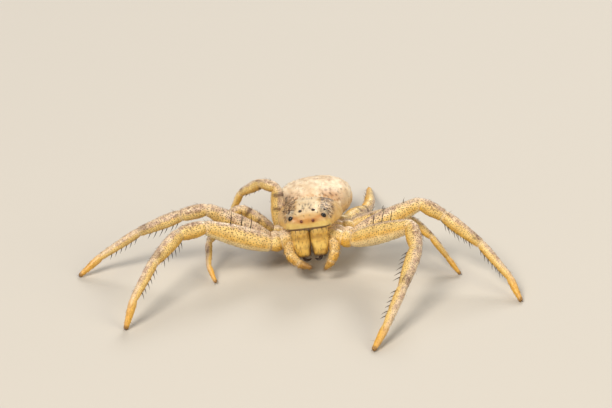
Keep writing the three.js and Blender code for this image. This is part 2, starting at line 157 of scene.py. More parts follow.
@dataclass(frozen=True)
class BodyPose:
    """Where the body stands and how it is turned, as the solids have it."""

    centre: Point = (0.59, 0.62, 1.72)
    pitch: float = -10.0
    roll: float = -8.5
    yaw: float = -1.5

    def matrix(self) -> np.ndarray:
        """The turn from the body's own axes to the part's axes."""
        turn = (
            Matrix.Rotation(math.radians(self.yaw), 3, "Z")
            @ Matrix.Rotation(math.radians(self.roll), 3, "Y")
            @ Matrix.Rotation(math.radians(self.pitch), 3, "X")
        )
        return np.array(turn)

    def to_part(self, points: np.ndarray) -> np.ndarray:
        """Move points from the body's axes to the part's."""
        return np.asarray(points, float) @ self.matrix().T + np.array(self.centre)

    def to_body(self, points: np.ndarray) -> np.ndarray:
        """Move points from the part's axes to the body's."""
        return (np.asarray(points, float) - np.array(self.centre)) @ self.matrix()


def add_object(name: str, data: bpy.types.ID) -> bpy.types.Object:
    """Put a mesh, a light or a camera in the scene, at the origin."""
    obj = bpy.data.objects.new(name, data)
    bpy.context.scene.collection.objects.link(obj)
    return obj


def set_uv(mesh: bpy.types.Mesh, name: str, uv: np.ndarray) -> None:
    """Unwrap a mesh by a place for each of its points."""
    layer = mesh.uv_layers.new(name=name)
    corners = np.empty(len(mesh.loops), dtype=np.int64)
    mesh.loops.foreach_get("vertex_index", corners)
    layer.data.foreach_set("uv", uv[corners].astype(np.float32).ravel())


def set_attribute(mesh: bpy.types.Mesh, name: str, kind: str, values: np.ndarray) -> None:
    """Give each point of a mesh a named value, direction or colour."""
    attribute = mesh.attributes.new(name, kind, "POINT")
    attribute.data.foreach_set(ATTRIBUTE_FIELDS[kind], values.astype(np.float32).ravel())


@dataclass
class Skin:
    """A closed surface with the named values that its finish and its coat read."""

    points: np.ndarray
    faces: list[tuple[int, ...]]
    uv: np.ndarray
    tint: np.ndarray = field(default_factory=lambda: np.zeros((0, 3)))
    lie: np.ndarray = field(default_factory=lambda: np.zeros((0, 3)))
    values: dict[str, np.ndarray] = field(default_factory=dict)

    def make(self, name: str, material: bpy.types.Material) -> bpy.types.Object:
        """Build the Blender object in metres, smooth, with its attributes.

        Args:
            name: The piece's name.
            material: Its finish.

        Returns:
            The new object, linked to the scene.
        """
        mesh = bpy.data.meshes.new(name)
        mesh.from_pydata((self.points * MM).tolist(), [], self.faces)
        mesh.validate()
        mesh.update()
        set_uv(mesh, "SkinUV", self.uv)
        if len(self.tint):
            opaque = np.ones((len(self.tint), 1))
            colour = np.clip(self.tint, 0, 1)
            set_attribute(mesh, "tint", "FLOAT_COLOR", np.concatenate([colour, opaque], axis=1))
        if len(self.lie):
            set_attribute(mesh, "lie", "FLOAT_VECTOR", self.lie)
        for key, value in self.values.items():
            set_attribute(mesh, key, "FLOAT", value)
        mesh.shade_smooth()
        mesh.materials.append(material)
        return add_object(name, mesh)

    def moved(self, pose: BodyPose) -> "Skin":
        """The skin and its hair directions, moved to where the body stands."""
        self.points = pose.to_part(self.points)
        if len(self.lie):
            self.lie = self.lie @ pose.matrix().T
        return self


def ring_faces(first: int, rings: int, sides: int) -> list[tuple[int, ...]]:
    """Four-sided faces between rings of points.

    Args:
        first: The number of the first ring's first point.
        rings: How many rings follow one another.
        sides: Points in a ring.

    Returns:
        The faces, ring by ring.
    """
    faces: list[tuple[int, ...]] = []
    for i in range(rings - 1):
        for j in range(sides):
            a = first + i * sides + j
            b = first + i * sides + (j + 1) % sides
            faces.append((a, b, b + sides, a + sides))
    return faces


def loft(rings: np.ndarray, around_start: float = 0.0) -> Skin:
    """Close a stack of rings into a skin, its two ends drawn to a point.

    Args:
        rings: Positions shaped (rings, sides, 3).
        around_start: Where the unwrap's seam lies, as a share of a turn.

    Returns:
        A skin with its unwrap and no colours yet.
    """
    count, sides, _ = rings.shape
    points = rings.reshape(-1, 3)
    first = rings[0].mean(axis=0)
    last = rings[-1].mean(axis=0)
    points = np.concatenate([points, [first, last]])
    faces = ring_faces(0, count, sides)
    hub_first, hub_last = count * sides, count * sides + 1
    for j in range(sides):
        k = (j + 1) % sides
        faces.append((hub_first, k, j))
        faces.append((hub_last, (count - 1) * sides + j, (count - 1) * sides + k))
    u = (np.arange(sides) / sides + around_start) % 1.0
    v = np.linspace(0.02, 0.98, count)
    grid = np.stack(np.meshgrid(u, v), axis=-1).reshape(-1, 2)
    uv = np.concatenate([grid, [[0.5, 0.005], [0.5, 0.995]]])
    centre = points.mean(axis=0)
    volume = 0.0
    for face in faces[:: max(1, len(faces) // 4000)]:
        a, b, c = (points[index] - centre for index in face[:3])
        volume += float(np.dot(a, np.cross(b, c)))
    if volume < 0:
        faces = [tuple(reversed(face)) for face in faces]
    return Skin(points=points, faces=faces, uv=uv)


def vertex_normals(skin: Skin) -> np.ndarray:
    """Outward normals at the points of a skin, area weighted."""
    p = skin.points
    normals = np.zeros_like(p)
    for size in (4, 3):
        faces = np.array([face for face in skin.faces if len(face) == size])
        cross = np.cross(p[faces[:, 2]] - p[faces[:, 0]], p[faces[:, -1]] - p[faces[:, 1]])
        for corner in faces.T:
            np.add.at(normals, corner, cross)
    return unit(normals)


def combed(normal: np.ndarray, way: Sequence[float], press: float) -> np.ndarray:
    """Directions of hair that is combed one way.

    Args:
        normal: The surface's normals.
        way: The direction of the comb.
        press: 0 for hair that keeps to it, 1 for hair pressed flat on the surface.

    Returns:
        A direction for each normal.
    """
    aim = np.array(way, float)
    return unit(aim - normal * (normal @ aim)[:, None] * press)


def catmull(stations: Rows, count: int) -> np.ndarray:
    """Even samples of a smooth curve through rows of named sizes.

    Args:
        stations: The rows, each of the same length.
        count: How many samples to take.

    Returns:
        The samples, one row each.
    """
    rows = np.array(stations, float)
    padded = np.concatenate([[2 * rows[0] - rows[1]], rows, [2 * rows[-1] - rows[-2]]])
    samples = []
    for t in np.linspace(0, len(rows) - 1, count):
        i = min(int(t), len(rows) - 2)
        f = t - i
        p0, p1, p2, p3 = padded[i : i + 4]
        square = 2 * p0 - 5 * p1 + 4 * p2 - p3
        cube = 3 * p1 - p0 - 3 * p2 + p3
        samples.append(0.5 * (2 * p1 + (p2 - p0) * f + square * f**2 + cube * f**3))
    return np.array(samples)


def tube_rings(path: Rows, radii: Sequence[float], sides: int, steps: int = 60) -> np.ndarray:
    """Rings of a tube through a smooth curve, with rounded ends.

    Args:
        path: Points that the curve passes.
        radii: The radius at each of them.
        sides: Points in a ring.
        steps: Rings along the curve.

    Returns:
        Positions shaped (rings, sides, 3).
    """
    rows = [(*point, radius) for point, radius in zip(path, radii)]
    samples = catmull(rows, steps)
    centre, radius = samples[:, :3], samples[:, 3]
    tangent = unit(np.gradient(centre, axis=0))
    upward = np.zeros_like(centre)
    guess = np.array([0.0, 0.0, 1.0]) if abs(tangent[0][2]) < 0.9 else np.array([0.0, 1.0, 0.0])
    for i in range(steps):
        upward[i] = unit(guess - np.dot(guess, tangent[i]) * tangent[i])
        guess = upward[i]
    across = np.cross(tangent, upward)
    angle = np.arange(sides) * 2 * math.pi / sides
    circle = across[:, None, :] * np.cos(angle)[:, None] + upward[:, None, :] * np.sin(angle)[:, None]
    rings = centre[:, None, :] + circle * radius[:, None, None]
    start, end = [], []
    for turn in (0.35, 0.7, 1.0, 1.25, 1.42):
        for ends, k, way in ((start, 0, -1), (end, -1, 1)):
            bulge = way * tangent[k] * math.sin(turn) + circle[k] * math.cos(turn)
            ends.append(centre[k] + bulge * radius[k])
    return np.concatenate([np.array(start[::-1]), rings, np.array(end)])


def join(name: str, pieces: Sequence[bpy.types.Object]) -> bpy.types.Object:
    """Join mesh objects that stand at the origin into one piece.

    Args:
        name: The joined piece's name.
        pieces: The objects, which are removed.

    Returns:
        The new object.
    """
    for piece in bpy.context.selected_objects:
        piece.select_set(False)
    for piece in pieces:
        piece.select_set(True)
    bpy.context.view_layer.objects.active = pieces[0]
    bpy.ops.object.join()
    pieces[0].name = name
    pieces[0].data.name = name
    return pieces[0]


def above_floor(points: np.ndarray) -> np.ndarray:
    """Bend what would pass through the floor so that it lies just above it.

    Args:
        points: Positions in the part's frame in millimetres.

    Returns:
        The same positions, none of them below the floor.
    """
    bent = points.copy()
    low = bent[:, 2] < HAIR_GAP
    bent[low, 2] = HAIR_GAP * np.exp((bent[low, 2] - HAIR_GAP) / HAIR_GIVE)
    return bent


class NodeTree:
    """A thin hand on a shader or geometry tree that adds nodes and joins them."""

    def __init__(self, tree: bpy.types.NodeTree) -> None:
        """Keep the tree that the nodes go into."""
        self.tree = tree

    def add(self, kind: str, inputs: Optional[dict] = None, **settings: object) -> bpy.types.Node:
        """Add a node, set its properties and fill or join its inputs.

        Args:
            kind: The node's type name.
            inputs: Values or output sockets by input name or number.
            settings: Properties of the node itself.

        Returns:
            The node.
        """
        node = self.tree.nodes.new(kind)
        for key, value in settings.items():
            setattr(node, key, value)
        self.fill(node, inputs or {})
        return node

    def fill(self, node: bpy.types.Node, inputs: dict) -> None:
        """Fill or join a node's inputs by name or number."""
        for key, value in inputs.items():
            self.feed(node.inputs[key], value)

    def feed(self, socket: bpy.types.NodeSocket, value: object) -> None:
        """Join an output to a socket, or set the socket's own value."""
        if isinstance(value, bpy.types.NodeSocket):
            self.tree.links.new(value, socket)
        elif isinstance(value, np.ndarray) and socket.type == "RGBA":
            socket.default_value = (*[float(v) for v in value], 1.0)
        else:
            socket.default_value = value

    def math(self, operation: str, *values: object) -> bpy.types.NodeSocket:
        """Add a math node and return its output."""
        node = self.add("ShaderNodeMath", operation=operation)
        for index, value in enumerate(values):
            self.feed(node.inputs[index], value)
        return node.outputs[0]

    def vector(self, operation: str, first: object, second: object) -> bpy.types.NodeSocket:
        """Add a vector math node, whose second value is a number for a scale, and return its output."""
        other = "Scale" if operation == "SCALE" else 1
        return self.add("ShaderNodeVectorMath", {0: first, other: second}, operation=operation).outputs[0]

    def mixed(self, share: object, first: object, second: object, blend: str = "MIX") -> bpy.types.NodeSocket:
        """Add a colour mix node and return its output."""
        inputs = {"Factor": share, 6: first, 7: second}
        return self.add("ShaderNodeMix", inputs, data_type="RGBA", blend_type=blend).outputs[2]

    def noise(self, place: bpy.types.NodeSocket, scale: float, detail: float) -> bpy.types.NodeSocket:
        """Add a noise texture and return its value."""
        inputs = {"Vector": place, "Scale": scale, "Detail": detail}
        return self.add("ShaderNodeTexNoise", inputs).outputs["Fac"]

    def step(self, value: bpy.types.NodeSocket, start: float, end: float) -> bpy.types.NodeSocket:
        """Add a soft step from 0 at the start to 1 at the end and return it."""
        inputs = {"Value": value, "From Min": start, "From Max": end}
        return self.add("ShaderNodeMapRange", inputs, interpolation_type="SMOOTHSTEP").outputs["Result"]

    def named(self, name: object, kind: str = "FLOAT_VECTOR") -> bpy.types.NodeSocket:
        """Read a named attribute of a geometry."""
        return self.add("GeometryNodeInputNamedAttribute", {"Name": name}, data_type=kind).outputs[0]

    def stored(
        self,
        geometry: bpy.types.NodeSocket,
        name: str,
        value: bpy.types.NodeSocket,
        domain: str,
        kind: str = "FLOAT_VECTOR",
    ) -> bpy.types.NodeSocket:
        """Store a named attribute on a geometry and return the geometry."""
        inputs = {"Geometry": geometry, "Name": name, "Value": value}
        node = self.add("GeometryNodeStoreNamedAttribute", inputs, data_type=kind, domain=domain)
        return node.outputs["Geometry"]


def new_material(name: str) -> tuple[bpy.types.Material, NodeTree, bpy.types.Node]:
    """Make a material, with its tree and its main shader."""
    material = bpy.data.materials.new(name)
    material.use_nodes = True
    return material, NodeTree(material.node_tree), material.node_tree.nodes["Principled BSDF"]


@dataclass(frozen=True)
class CuticleFinish:
    """Shell or skin: a colour laid on the points, dark dots at the hair roots, and a fine grain."""

    name: str
    speckle_colour: str
    speckle: float
    cells: tuple[float, float]
    dot: float = 0.25
    mottle: float = 0.25
    roughness: float = 0.42
    grain: float = 0.25
    grain_scale: float = 9000.0
    coat: float = 0.1
    subsurface: float = 0.12
    dot_core: float = 0.55
    dot_depth: float = 0.7
    mottle_colour: str = "#c9ab86"
    mottle_scale: float = 2600.0
    relief: float = 0.00004
    tissue: float = 0.00025

    def build(self) -> bpy.types.Material:
        """Make the material."""
        material, tree, shader = new_material(self.name)
        tint = tree.add("ShaderNodeAttribute", attribute_name="tint").outputs["Color"]
        share = tree.add("ShaderNodeAttribute", attribute_name="speckle").outputs["Fac"]
        place = tree.add("ShaderNodeTexCoord").outputs["Object"]
        unwrap = tree.add("ShaderNodeUVMap", uv_map="SkinUV").outputs["UV"]
        cell = tree.add(
            "ShaderNodeTexVoronoi",
            {"Vector": tree.vector("MULTIPLY", unwrap, (*self.cells, 1.0)), "Scale": 1.0, "Randomness": 0.75},
            feature="F1",
            voronoi_dimensions="2D",
        )
        edge = tree.step(cell.outputs["Distance"], self.dot, self.dot * self.dot_core)
        dots = tree.math("MULTIPLY", edge, tree.math("MULTIPLY", share, self.speckle))
        patch = tree.step(tree.noise(place, self.mottle_scale, 4.0), 0.38, 0.62)
        uneven = tree.mixed(
            self.mottle, tint, tree.mixed(patch, srgb(self.mottle_colour), srgb("#ffffff")), "MULTIPLY"
        )
        fine = tree.noise(place, self.grain_scale, 3.0)
        height = tree.math("SUBTRACT", fine, tree.math("MULTIPLY", dots, self.dot_depth))
        inputs = {"Strength": self.grain, "Distance": self.relief, "Height": height}
        bumped = tree.add("ShaderNodeBump", inputs)
        tree.fill(
            shader,
            {
                "Base Color": tree.mixed(dots, uneven, srgb(self.speckle_colour)),
                "Normal": bumped.outputs["Normal"],
                "Roughness": self.roughness,
                "Coat Weight": self.coat,
                "Coat Roughness": 0.3,
                "Subsurface Weight": self.subsurface,
                "Subsurface Scale": self.tissue,
                "Subsurface Radius": (1.0, 0.7, 0.4),
            },
        )
        return material


@dataclass(frozen=True)
class PlainFinish:
    """One colour with a set gloss, for eyes, claws and the floor."""

    name: str
    colour: str
    roughness: float = 0.4
    coat: float = 0.0
    specular: float = 0.5

    def build(self) -> bpy.types.Material:
        """Make the material."""
        material, tree, shader = new_material(self.name)
        tree.fill(
            shader,
            {
                "Base Color": srgb(self.colour),
                "Roughness": self.roughness,
                "Coat Weight": self.coat,
                "Coat Roughness": 0.03,
                "Specular IOR Level": self.specular,
            },
        )
        return material


@dataclass(frozen=True)
class HairFinish:
    """Hair that takes its colour from the skin under it, darkened toward its own."""

    name: str
    colour: str
    own: float
    roughness: float = 0.45

    def build(self) -> bpy.types.Material:
        """Make the material."""
        material, tree, shader = new_material(self.name)
        tint = tree.add("ShaderNodeAttribute", attribute_name="tint").outputs["Color"]
        blend = tree.mixed(self.own, tint, srgb(self.colour))
        tree.fill(shader, {"Base Color": blend, "Roughness": self.roughness})
        return material


@dataclass(frozen=True)
class Coat:
    """Hairs or spines that Geometry Nodes set on a skin and turn into plain mesh.

    density is per square millimetre, the lengths and radius are in millimetres, flatness is 0 for hair that
    stands straight up and 1 for hair that lies along the skin.
    """

    density: float
    length: float
    spread: float
    radius: float
    flatness: float
    jitter: float
    seed: int
    share: str = "hair"
    sides: int = 3

    BAKE_PATCH = 0.003
    TIP_SHARE = 0.15
    INPUTS = (
        ("Density", "NodeSocketFloat"),
        ("Length", "NodeSocketFloat"),
        ("Spread", "NodeSocketFloat"),
        ("Radius", "NodeSocketFloat"),
        ("Flatness", "NodeSocketFloat"),
        ("Jitter", "NodeSocketFloat"),
        ("Sides", "NodeSocketInt"),
        ("Seed", "NodeSocketInt"),
        ("Share", "NodeSocketString"),
        ("Finish", "NodeSocketMaterial"),
    )

    def values(self, material: bpy.types.Material) -> dict[str, object]:
        """What each named input of the tree is set to, in metres."""
        return {
            "Density": self.density / (MM * MM),
            "Length": self.length * MM,
            "Spread": self.spread,
            "Radius": self.radius * MM,
            "Flatness": self.flatness,
            "Jitter": self.jitter,
            "Sides": self.sides,
            "Seed": self.seed,
            "Share": self.share,
            "Finish": material,
        }

    def seeded(self, extra: int) -> "Coat":
        """The same coat with its seed moved on."""
        return replace(self, seed=self.seed + extra)

    @classmethod
    def tree(cls) -> bpy.types.NodeTree:
        """The shared node tree, built once."""
        group = bpy.data.node_groups.get("BristleCoat")
        if group is not None:
            return group
        group = bpy.data.node_groups.new("BristleCoat", "GeometryNodeTree")
        group.interface.new_socket("Geometry", in_out="INPUT", socket_type="NodeSocketGeometry")
        for name, kind in cls.INPUTS:
            group.interface.new_socket(name, in_out="INPUT", socket_type=kind)
        group.interface.new_socket("Geometry", in_out="OUTPUT", socket_type="NodeSocketGeometry")
        tree = NodeTree(group)
        given = tree.add("NodeGroupInput").outputs
        density = tree.math("MULTIPLY", tree.named(given["Share"], "FLOAT"), given["Density"])
        points = tree.add(
            "GeometryNodeDistributePointsOnFaces",
            {"Mesh": given["Geometry"], "Density": density, "Seed": given["Seed"]},
            distribute_method="RANDOM",
        )
        normal = points.outputs["Normal"]
        rooted = tree.stored(points.outputs["Points"], "root_uv", tree.named("SkinUV"), "POINT")
        upright = tree.vector("SCALE", normal, tree.math("SUBTRACT", 1.0, given["Flatness"]))
        flat = tree.vector("SCALE", tree.named("lie"), given["Flatness"])
        loose = tree.add(
            "FunctionNodeRandomValue",
            {0: (-1.0, -1.0, -1.0), 1: (1.0, 1.0, 1.0), "Seed": given["Seed"]},
            data_type="FLOAT_VECTOR",
        )
        scatter = tree.vector("SCALE", loose.outputs[0], given["Jitter"])
        aim = tree.vector("ADD", tree.vector("ADD", upright, flat), scatter)
        turned = tree.add("FunctionNodeAlignRotationToVector", {"Vector": aim}, axis="Z")
        faced = tree.add(
            "FunctionNodeAlignRotationToVector",
            {"Rotation": turned.outputs[0], "Vector": normal},
            axis="X",
            pivot_axis="Z",
        )
        low = tree.math("SUBTRACT", 1.0, given["Spread"])
        high = tree.math("ADD", 1.0, given["Spread"])
        limits = {2: low, 3: high, "Seed": given["Seed"]}
        size = tree.add("FunctionNodeRandomValue", limits, data_type="FLOAT")
        length = tree.math("MULTIPLY", given["Length"], size.outputs[1])
        scale = tree.add("ShaderNodeCombineXYZ", {0: given["Radius"], 1: given["Radius"], 2: length})
        sizes = {
            "Vertices": given["Sides"],
            "Side Segments": 3,
            "Radius Top": cls.TIP_SHARE,
            "Radius Bottom": 1.0,
            "Depth": 1.0,
        }
        cone = tree.add("GeometryNodeMeshCone", sizes, fill_type="NGON")
        hair = {
            "Points": rooted,
            "Instance": tree.stored(cone.outputs["Mesh"], "hair_uv", cone.outputs["UV Map"], "CORNER"),
            "Rotation": faced.outputs[0],
            "Scale": scale.outputs[0],
        }
        placed = tree.add("GeometryNodeInstanceOnPoints", hair)
        solid = tree.add("GeometryNodeRealizeInstances", {"Geometry": placed.outputs[0]})
        own = tree.vector("SCALE", tree.named("hair_uv"), cls.BAKE_PATCH)
        place = tree.vector("ADD", tree.named("root_uv"), own)
        mapped = tree.stored(solid.outputs[0], "OFBake", place, "CORNER", "FLOAT2")
        dressed = tree.add("GeometryNodeSetMaterial", {"Geometry": mapped, "Material": given["Finish"]})
        tree.add("NodeGroupOutput", {"Geometry": dressed.outputs["Geometry"]})
        return group

    def grow(self, skin: bpy.types.Object, name: str, material: bpy.types.Material) -> bpy.types.Object:
        """Grow the coat on a skin and keep it as a plain mesh of its own.

        Args:
            skin: The object that the hair grows on, which is left as it is.
            name: The new piece's name.
            material: The hair's finish.

        Returns:
            The coat's object.
        """
        bare = add_object(f"{name}_bare", skin.data.copy())
        modifier = bare.modifiers.new("coat", "NODES")
        modifier.node_group = self.tree()
        given = self.values(material)
        for item in modifier.node_group.interface.items_tree:
            if item.in_out == "INPUT" and item.name in given:
                modifier[item.identifier] = given[item.name]
        bare.update_tag()
        graph = bpy.context.evaluated_depsgraph_get()
        mesh = bpy.data.meshes.new_from_object(
            bare.evaluated_get(graph), preserve_all_data_layers=True, depsgraph=graph
        )
        mesh.name = name
        bpy.data.objects.remove(bare, do_unlink=True)
        for extra in ("root_uv", "hair_uv", "lie", "speckle", "hair", "stiff", "SkinUV"):
            attribute = mesh.attributes.get(extra)
            if attribute is not None:
                mesh.attributes.remove(attribute)
        points = np.empty(3 * len(mesh.vertices))
        mesh.vertices.foreach_get("co", points)
        points = above_floor(points.reshape(-1, 3) / MM) * MM
        mesh.vertices.foreach_set("co", points.ravel())
        mesh.update()
        mesh.shade_smooth()
        return add_object(name, mesh)


def settle(obj: bpy.types.Object, nodes: Sequence[str] = ()) -> bpy.types.Object:
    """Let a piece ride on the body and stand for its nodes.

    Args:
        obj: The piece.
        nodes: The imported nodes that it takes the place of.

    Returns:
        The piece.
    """
    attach(obj, "root")
    if nodes:
        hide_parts(*nodes)
    LOG.info("%s: %d faces, stands for %s", obj.name, len(obj.data.polygons), ", ".join(nodes) or "nothing")
    return obj


class Link(IntEnum):
    """The links of a leg, from the root to the tip."""

    COXA = 0
    TROCHANTER = 1
    FEMUR = 2
    PATELLA = 3
    TIBIA = 4
    METATARSUS = 5
    TARSUS = 6


@dataclass(frozen=True)
class LinkShape:
    """Half thickness of one leg link, in millimetres for a girth of 1."""

    start: float
    full: float
    end: float
    peak: float
    narrow: float
    speckle: float

    def half(self, t: np.ndarray) -> np.ndarray:
        """The half thickness at a share of the link's length."""
        swell = np.sin(np.pi * np.clip(t, 0, 1) ** (math.log(0.5) / math.log(self.peak)))
        return self.start + (self.end - self.start) * t + (self.full - (self.start + self.end) / 2) * swell


@dataclass(frozen=True)
class LegPair:
    """The sizes that the left and right leg of one pair share, as the solids have them."""

    number: int
    root: Point
    hip: Point
    girth: float
    lengths: tuple[float, ...]


@dataclass(frozen=True)
class Stance:
    """How one leg is set: its hip's drop, and degrees of sweep and rise for each link from the femur on."""

    drop: float
    sweep: tuple[float, ...]
    rise: tuple[float, ...]


@dataclass(frozen=True)
class SpineRow:
    """A row of stiff spines along one link."""

    link: Link
    places: tuple[float, ...]
    turn: float
    length: float
    lean: float
    both: bool
    radius: float = 0.026


LEG_PAIRS = (
    LegPair(1, (0.3, -0.68, -0.08), (1.9, -1.0, -0.15), 1.0, (3.35, 1.3, 2.25, 2.15, 1.3)),
    LegPair(2, (0.3, -0.22, -0.04), (2.0, -0.35, 0.05), 0.92, (3.4, 1.25, 2.2, 2.1, 1.25)),
    LegPair(3, (0.3, 0.24, -0.04), (1.9, 0.4, 0.0), 0.68, (1.95, 0.85, 1.4, 1.25, 0.9)),
    LegPair(4, (0.3, 0.72, -0.04), (1.6, 1.12, 0.0), 0.74, (1.9, 0.85, 1.55, 1.35, 0.85)),
)

STANCES = {
    (1, Side.RIGHT): Stance(0.05, (12, 24, 60, 64, 62), (22, -4, -18, -34, -64)),
    (2, Side.RIGHT): Stance(0.2, (6, -4, 0, 15, 30), (31, -17, -26, -32, -34)),
    (3, Side.RIGHT): Stance(0.0, (8, 2, 40, 90, 115), (42, -34, -62, -56, -50)),
    (4, Side.RIGHT): Stance(0.1, (-75, -30, -38, -35, -25), (74, 2, -36, -66, -66)),
    (1, Side.LEFT): Stance(0.3, (27, 80, 109, 114, 118), (26.5, -24, -26, -28, -26)),
    (2, Side.LEFT): Stance(0.48, (-3, 16, 30, 44, 66), (28, -24, -27, -32, -30)),
    (3, Side.LEFT): Stance(0.2, (-12, 18, 32, 40, 46), (15, -15, -30, -42, -38)),
    (4, Side.LEFT): Stance(0.1, (-60, -78, -88, -90, -90), (-10, -8, -20, -28, -25)),
}

LINK_SHAPES = {
    Link.COXA: LinkShape(0.3, 0.45, 0.36, 0.5, 0.66, 0.7),
    Link.TROCHANTER: LinkShape(0.34, 0.41, 0.33, 0.45, 0.8, 0.8),
    Link.FEMUR: LinkShape(0.34, 0.51, 0.33, 0.42, 0.84, 1.0),
    Link.PATELLA: LinkShape(0.31, 0.375, 0.3, 0.5, 0.92, 0.9),
    Link.TIBIA: LinkShape(0.29, 0.34, 0.24, 0.36, 0.92, 0.85),
    Link.METATARSUS: LinkShape(0.22, 0.235, 0.18, 0.3, 0.95, 0.6),
    Link.TARSUS: LinkShape(0.17, 0.18, 0.115, 0.3, 1.0, 0.3),
}

TIBIA_PLACES = (0.14, 0.25, 0.38, 0.5, 0.64, 0.78)
METATARSUS_PLACES = (0.12, 0.25, 0.38, 0.51, 0.64, 0.77)
FEW_SPINES = (
    SpineRow(Link.FEMUR, (0.55, 0.8), 15, 0.26, 0.6, False, 0.018),
    SpineRow(Link.TIBIA, (0.3, 0.7), 150, 0.22, 0.8, True, 0.016),
)
SPINE_ROWS = {
    1: (
        SpineRow(Link.FEMUR, (0.36, 0.5, 0.66), 16, 0.8, 0.12, False, 0.03),
        SpineRow(Link.TIBIA, TIBIA_PLACES, 148, 0.42, 0.8, True),
        SpineRow(Link.METATARSUS, METATARSUS_PLACES, 146, 0.36, 0.85, True),
    ),
    2: (
        SpineRow(Link.FEMUR, (0.5, 0.8), 20, 0.34, 0.5, False, 0.02),
        SpineRow(Link.TIBIA, TIBIA_PLACES, 148, 0.4, 0.8, True),
        SpineRow(Link.METATARSUS, METATARSUS_PLACES, 146, 0.34, 0.85, True),
    ),
    3: FEW_SPINES,
    4: FEW_SPINES,
}


@dataclass
class Spine:
    """One curved, tapered spine or claw, in millimetres."""

    base: Sequence[float]
    aim: Sequence[float]
    bend: Sequence[float]
    length: float
    radius: float
    root: tuple[float, float]

    SIDES = 5
    RINGS = 6
    SEAT = 0.12
    BOW = 0.16
    TIP = 0.06
    BAKE_PATCH = 0.0015

    def rings(self) -> tuple[list[np.ndarray], list[np.ndarray]]:
        """Its points, ring by ring, and their places on the unwrap."""
        aim = unit(np.asarray(self.aim, float))
        bend = unit(np.asarray(self.bend, float) - np.dot(self.bend, aim) * aim + 1e-9)
        third = np.cross(aim, bend)
        points, places = [], []
        for i in range(self.RINGS):
            t = i / (self.RINGS - 1)
            along = aim * (t - self.SEAT) + bend * self.BOW * t * t
            centre = np.asarray(self.base, float) + along * self.length
            around = self.radius * ((1 - t) ** 0.8 * (0.85 if i == 0 else 1.0) + self.TIP)
            for j in range(self.SIDES):
                angle = 2 * math.pi * j / self.SIDES
                c, s = math.cos(angle), math.sin(angle)
                points.append(centre + (bend * c + third * s) * around)
                places.append(np.array(self.root) + self.BAKE_PATCH * np.array([c, s]) * (1 - t))
        return points, places


def spines_mesh(name: str, spines: Sequence[Spine], material: bpy.types.Material) -> bpy.types.Object:
    """Join many spines into one mesh.

    Args:
        name: The piece's name.
        spines: The spines.
        material: Their finish.

    Returns:
        The new object.
    """
    points: list[np.ndarray] = []
    faces: list[tuple[int, ...]] = []
    places: list[np.ndarray] = []
    for spine in spines:
        first = len(points)
        last = first + (spine.RINGS - 1) * spine.SIDES
        more_points, more_places = spine.rings()
        points += more_points
        places += more_places
        faces += ring_faces(first, spine.RINGS, spine.SIDES)
        faces.append(tuple(first + j for j in reversed(range(spine.SIDES))))
        faces.append(tuple(last + j for j in range(spine.SIDES)))
    mesh = bpy.data.meshes.new(name)
    mesh.from_pydata((above_floor(np.array(points)) * MM).tolist(), [], faces)
    mesh.update()
    set_uv(mesh, "OFBake", np.array(places))
    mesh.shade_smooth()
    mesh.materials.append(material)
    return add_object(name, mesh)


def soften(values: np.ndarray, weights: np.ndarray) -> np.ndarray:
    """Values smoothed along their first axis, with their ends kept.

    Args:
        values: The values, one row for each sample.
        weights: An odd number of weights that add up to 1.

    Returns:
        As many values as before.
    """
    if values.ndim > 1:
        return np.stack([soften(column, weights) for column in values.T], axis=1)
    reach = len(weights) // 2
    return np.convolve(np.pad(values, reach, mode="reflect", reflect_type="odd"), weights, "valid")


@dataclass
class Course:
    """Samples along a leg from the sternum to the tip, with the directions and sizes there."""

    centre: np.ndarray
    link: np.ndarray
    share: np.ndarray
    tangent: np.ndarray
    upward: np.ndarray
    across: np.ndarray
    half: np.ndarray
    narrow: np.ndarray
    speckle: np.ndarray


